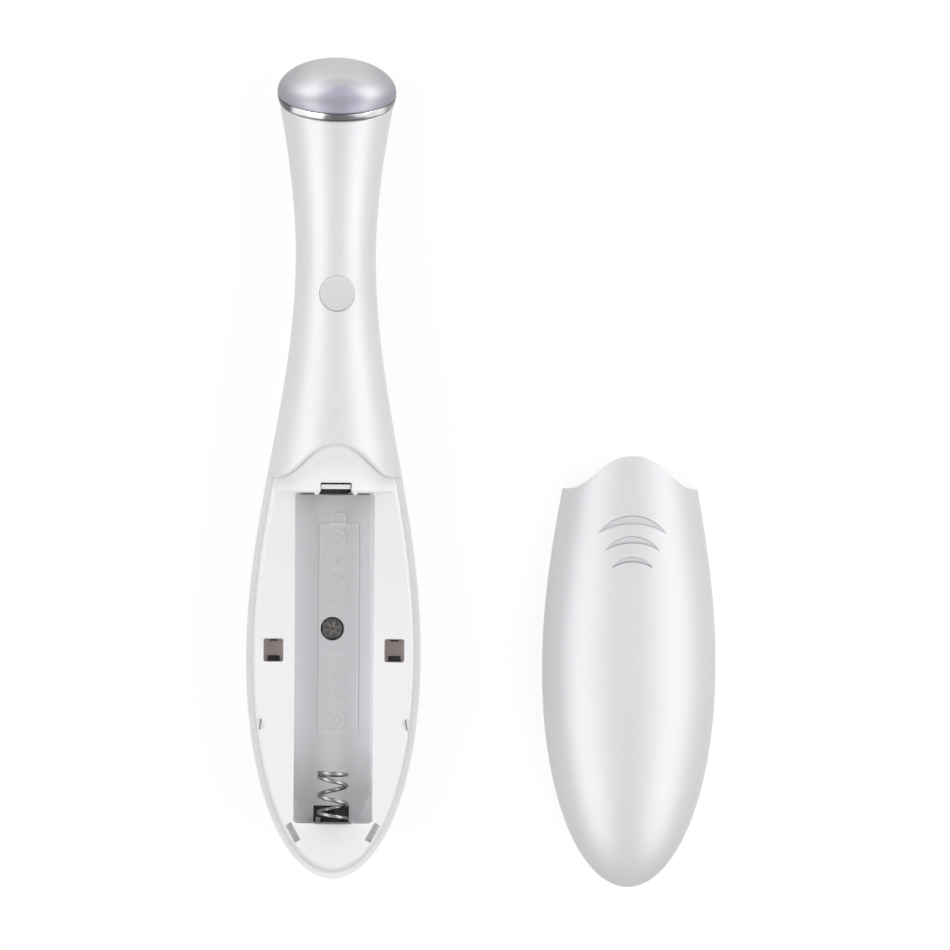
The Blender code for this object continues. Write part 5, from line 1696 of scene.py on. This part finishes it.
# %% [markdown]
# ## Lights
# Two long soft boxes, one on each side, make the two pale bands that run down the pearl shells and
# leave the middle a little greyer. Two low ones in front of the head give the metal its pair of
# round highlights.

# %% Lights
AIM = Vector((21.21 * MM, 27.51 * MM, PARTING_Z))
LAMP_DISTANCE = 1.1
STRIP_FROM = (-0.3, 0.84)
STRIP_SIZE = (0.85, 1.5)
STRIP_POWER = 8.5
HEAD_LAMPS = ((-30, 5.4), (37, 5.5))
HEAD_LAMP_SIZE = (0.42, 0.75)
HEAD_LAMP_UP = math.radians(10)


def soft_box(name, direction, size, power):
    """An area lamp that faces the object from a direction."""
    lamp = bpy.data.lights.new(name, "AREA")
    lamp.shape = "RECTANGLE"
    lamp.size, lamp.size_y = size
    lamp.energy = power
    made = bpy.data.objects.new(name, lamp)
    bpy.context.scene.collection.objects.link(made)
    away = Vector(direction).normalized()
    side = Vector((0, 1, 0)).cross(away).normalized()
    facing = Matrix((side, away.cross(side), away)).transposed().to_4x4()
    made.matrix_world = Matrix.Translation(AIM + away * LAMP_DISTANCE) @ facing
    made.visible_camera = False


for name, side in (("strip_left", -1), ("strip_right", 1)):
    soft_box(name, (side, *STRIP_FROM), STRIP_SIZE, STRIP_POWER)
for turn, power in HEAD_LAMPS:
    angle = math.radians(turn)
    direction = (math.sin(angle), math.cos(angle), math.tan(HEAD_LAMP_UP))
    soft_box(f"head_{turn}", direction, HEAD_LAMP_SIZE, power)
print("lamps:", [lamp.name for lamp in bpy.data.lights])

# %% [markdown]
# ## Camera
# The photograph looks straight down on the wand from far away, with hardly any perspective, so the
# camera has a very long lens. It stands a little to the left of the middle.

# %% Camera
FRAME_WIDTH = 143.45 * MM
LENS = 800.0
SENSOR = 36.0
SIGHT = 20.0
LEAN = math.radians(-2.7)
ROLL = math.radians(0.38)
camera_data = bpy.data.cameras.new("camera")
camera_data.lens = LENS
camera_data.sensor_width = SENSOR
camera_data.clip_end = SIGHT
camera = bpy.data.objects.new("camera", camera_data)
bpy.context.scene.collection.objects.link(camera)
distance = FRAME_WIDTH * LENS / SENSOR
stand = Matrix.Translation(AIM + Vector((math.sin(LEAN), 0.0, math.cos(LEAN))) * distance)
camera.matrix_world = stand @ Matrix.Rotation(LEAN, 4, "Y") @ Matrix.Rotation(ROLL, 4, "Z")
bpy.context.scene.camera = camera
bpy.context.scene.view_settings.view_transform = "Standard"
print(f"camera {distance:.2f} m away")

# %% [markdown]
# ## Sizes at the end
# The box of the visible pieces is printed at the end, because the fine surfaces must not make the wand
# any bigger.

# %% Size and end
low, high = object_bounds()
print("visual box:", [round(value / MM, 2) for value in (*low, *high)])
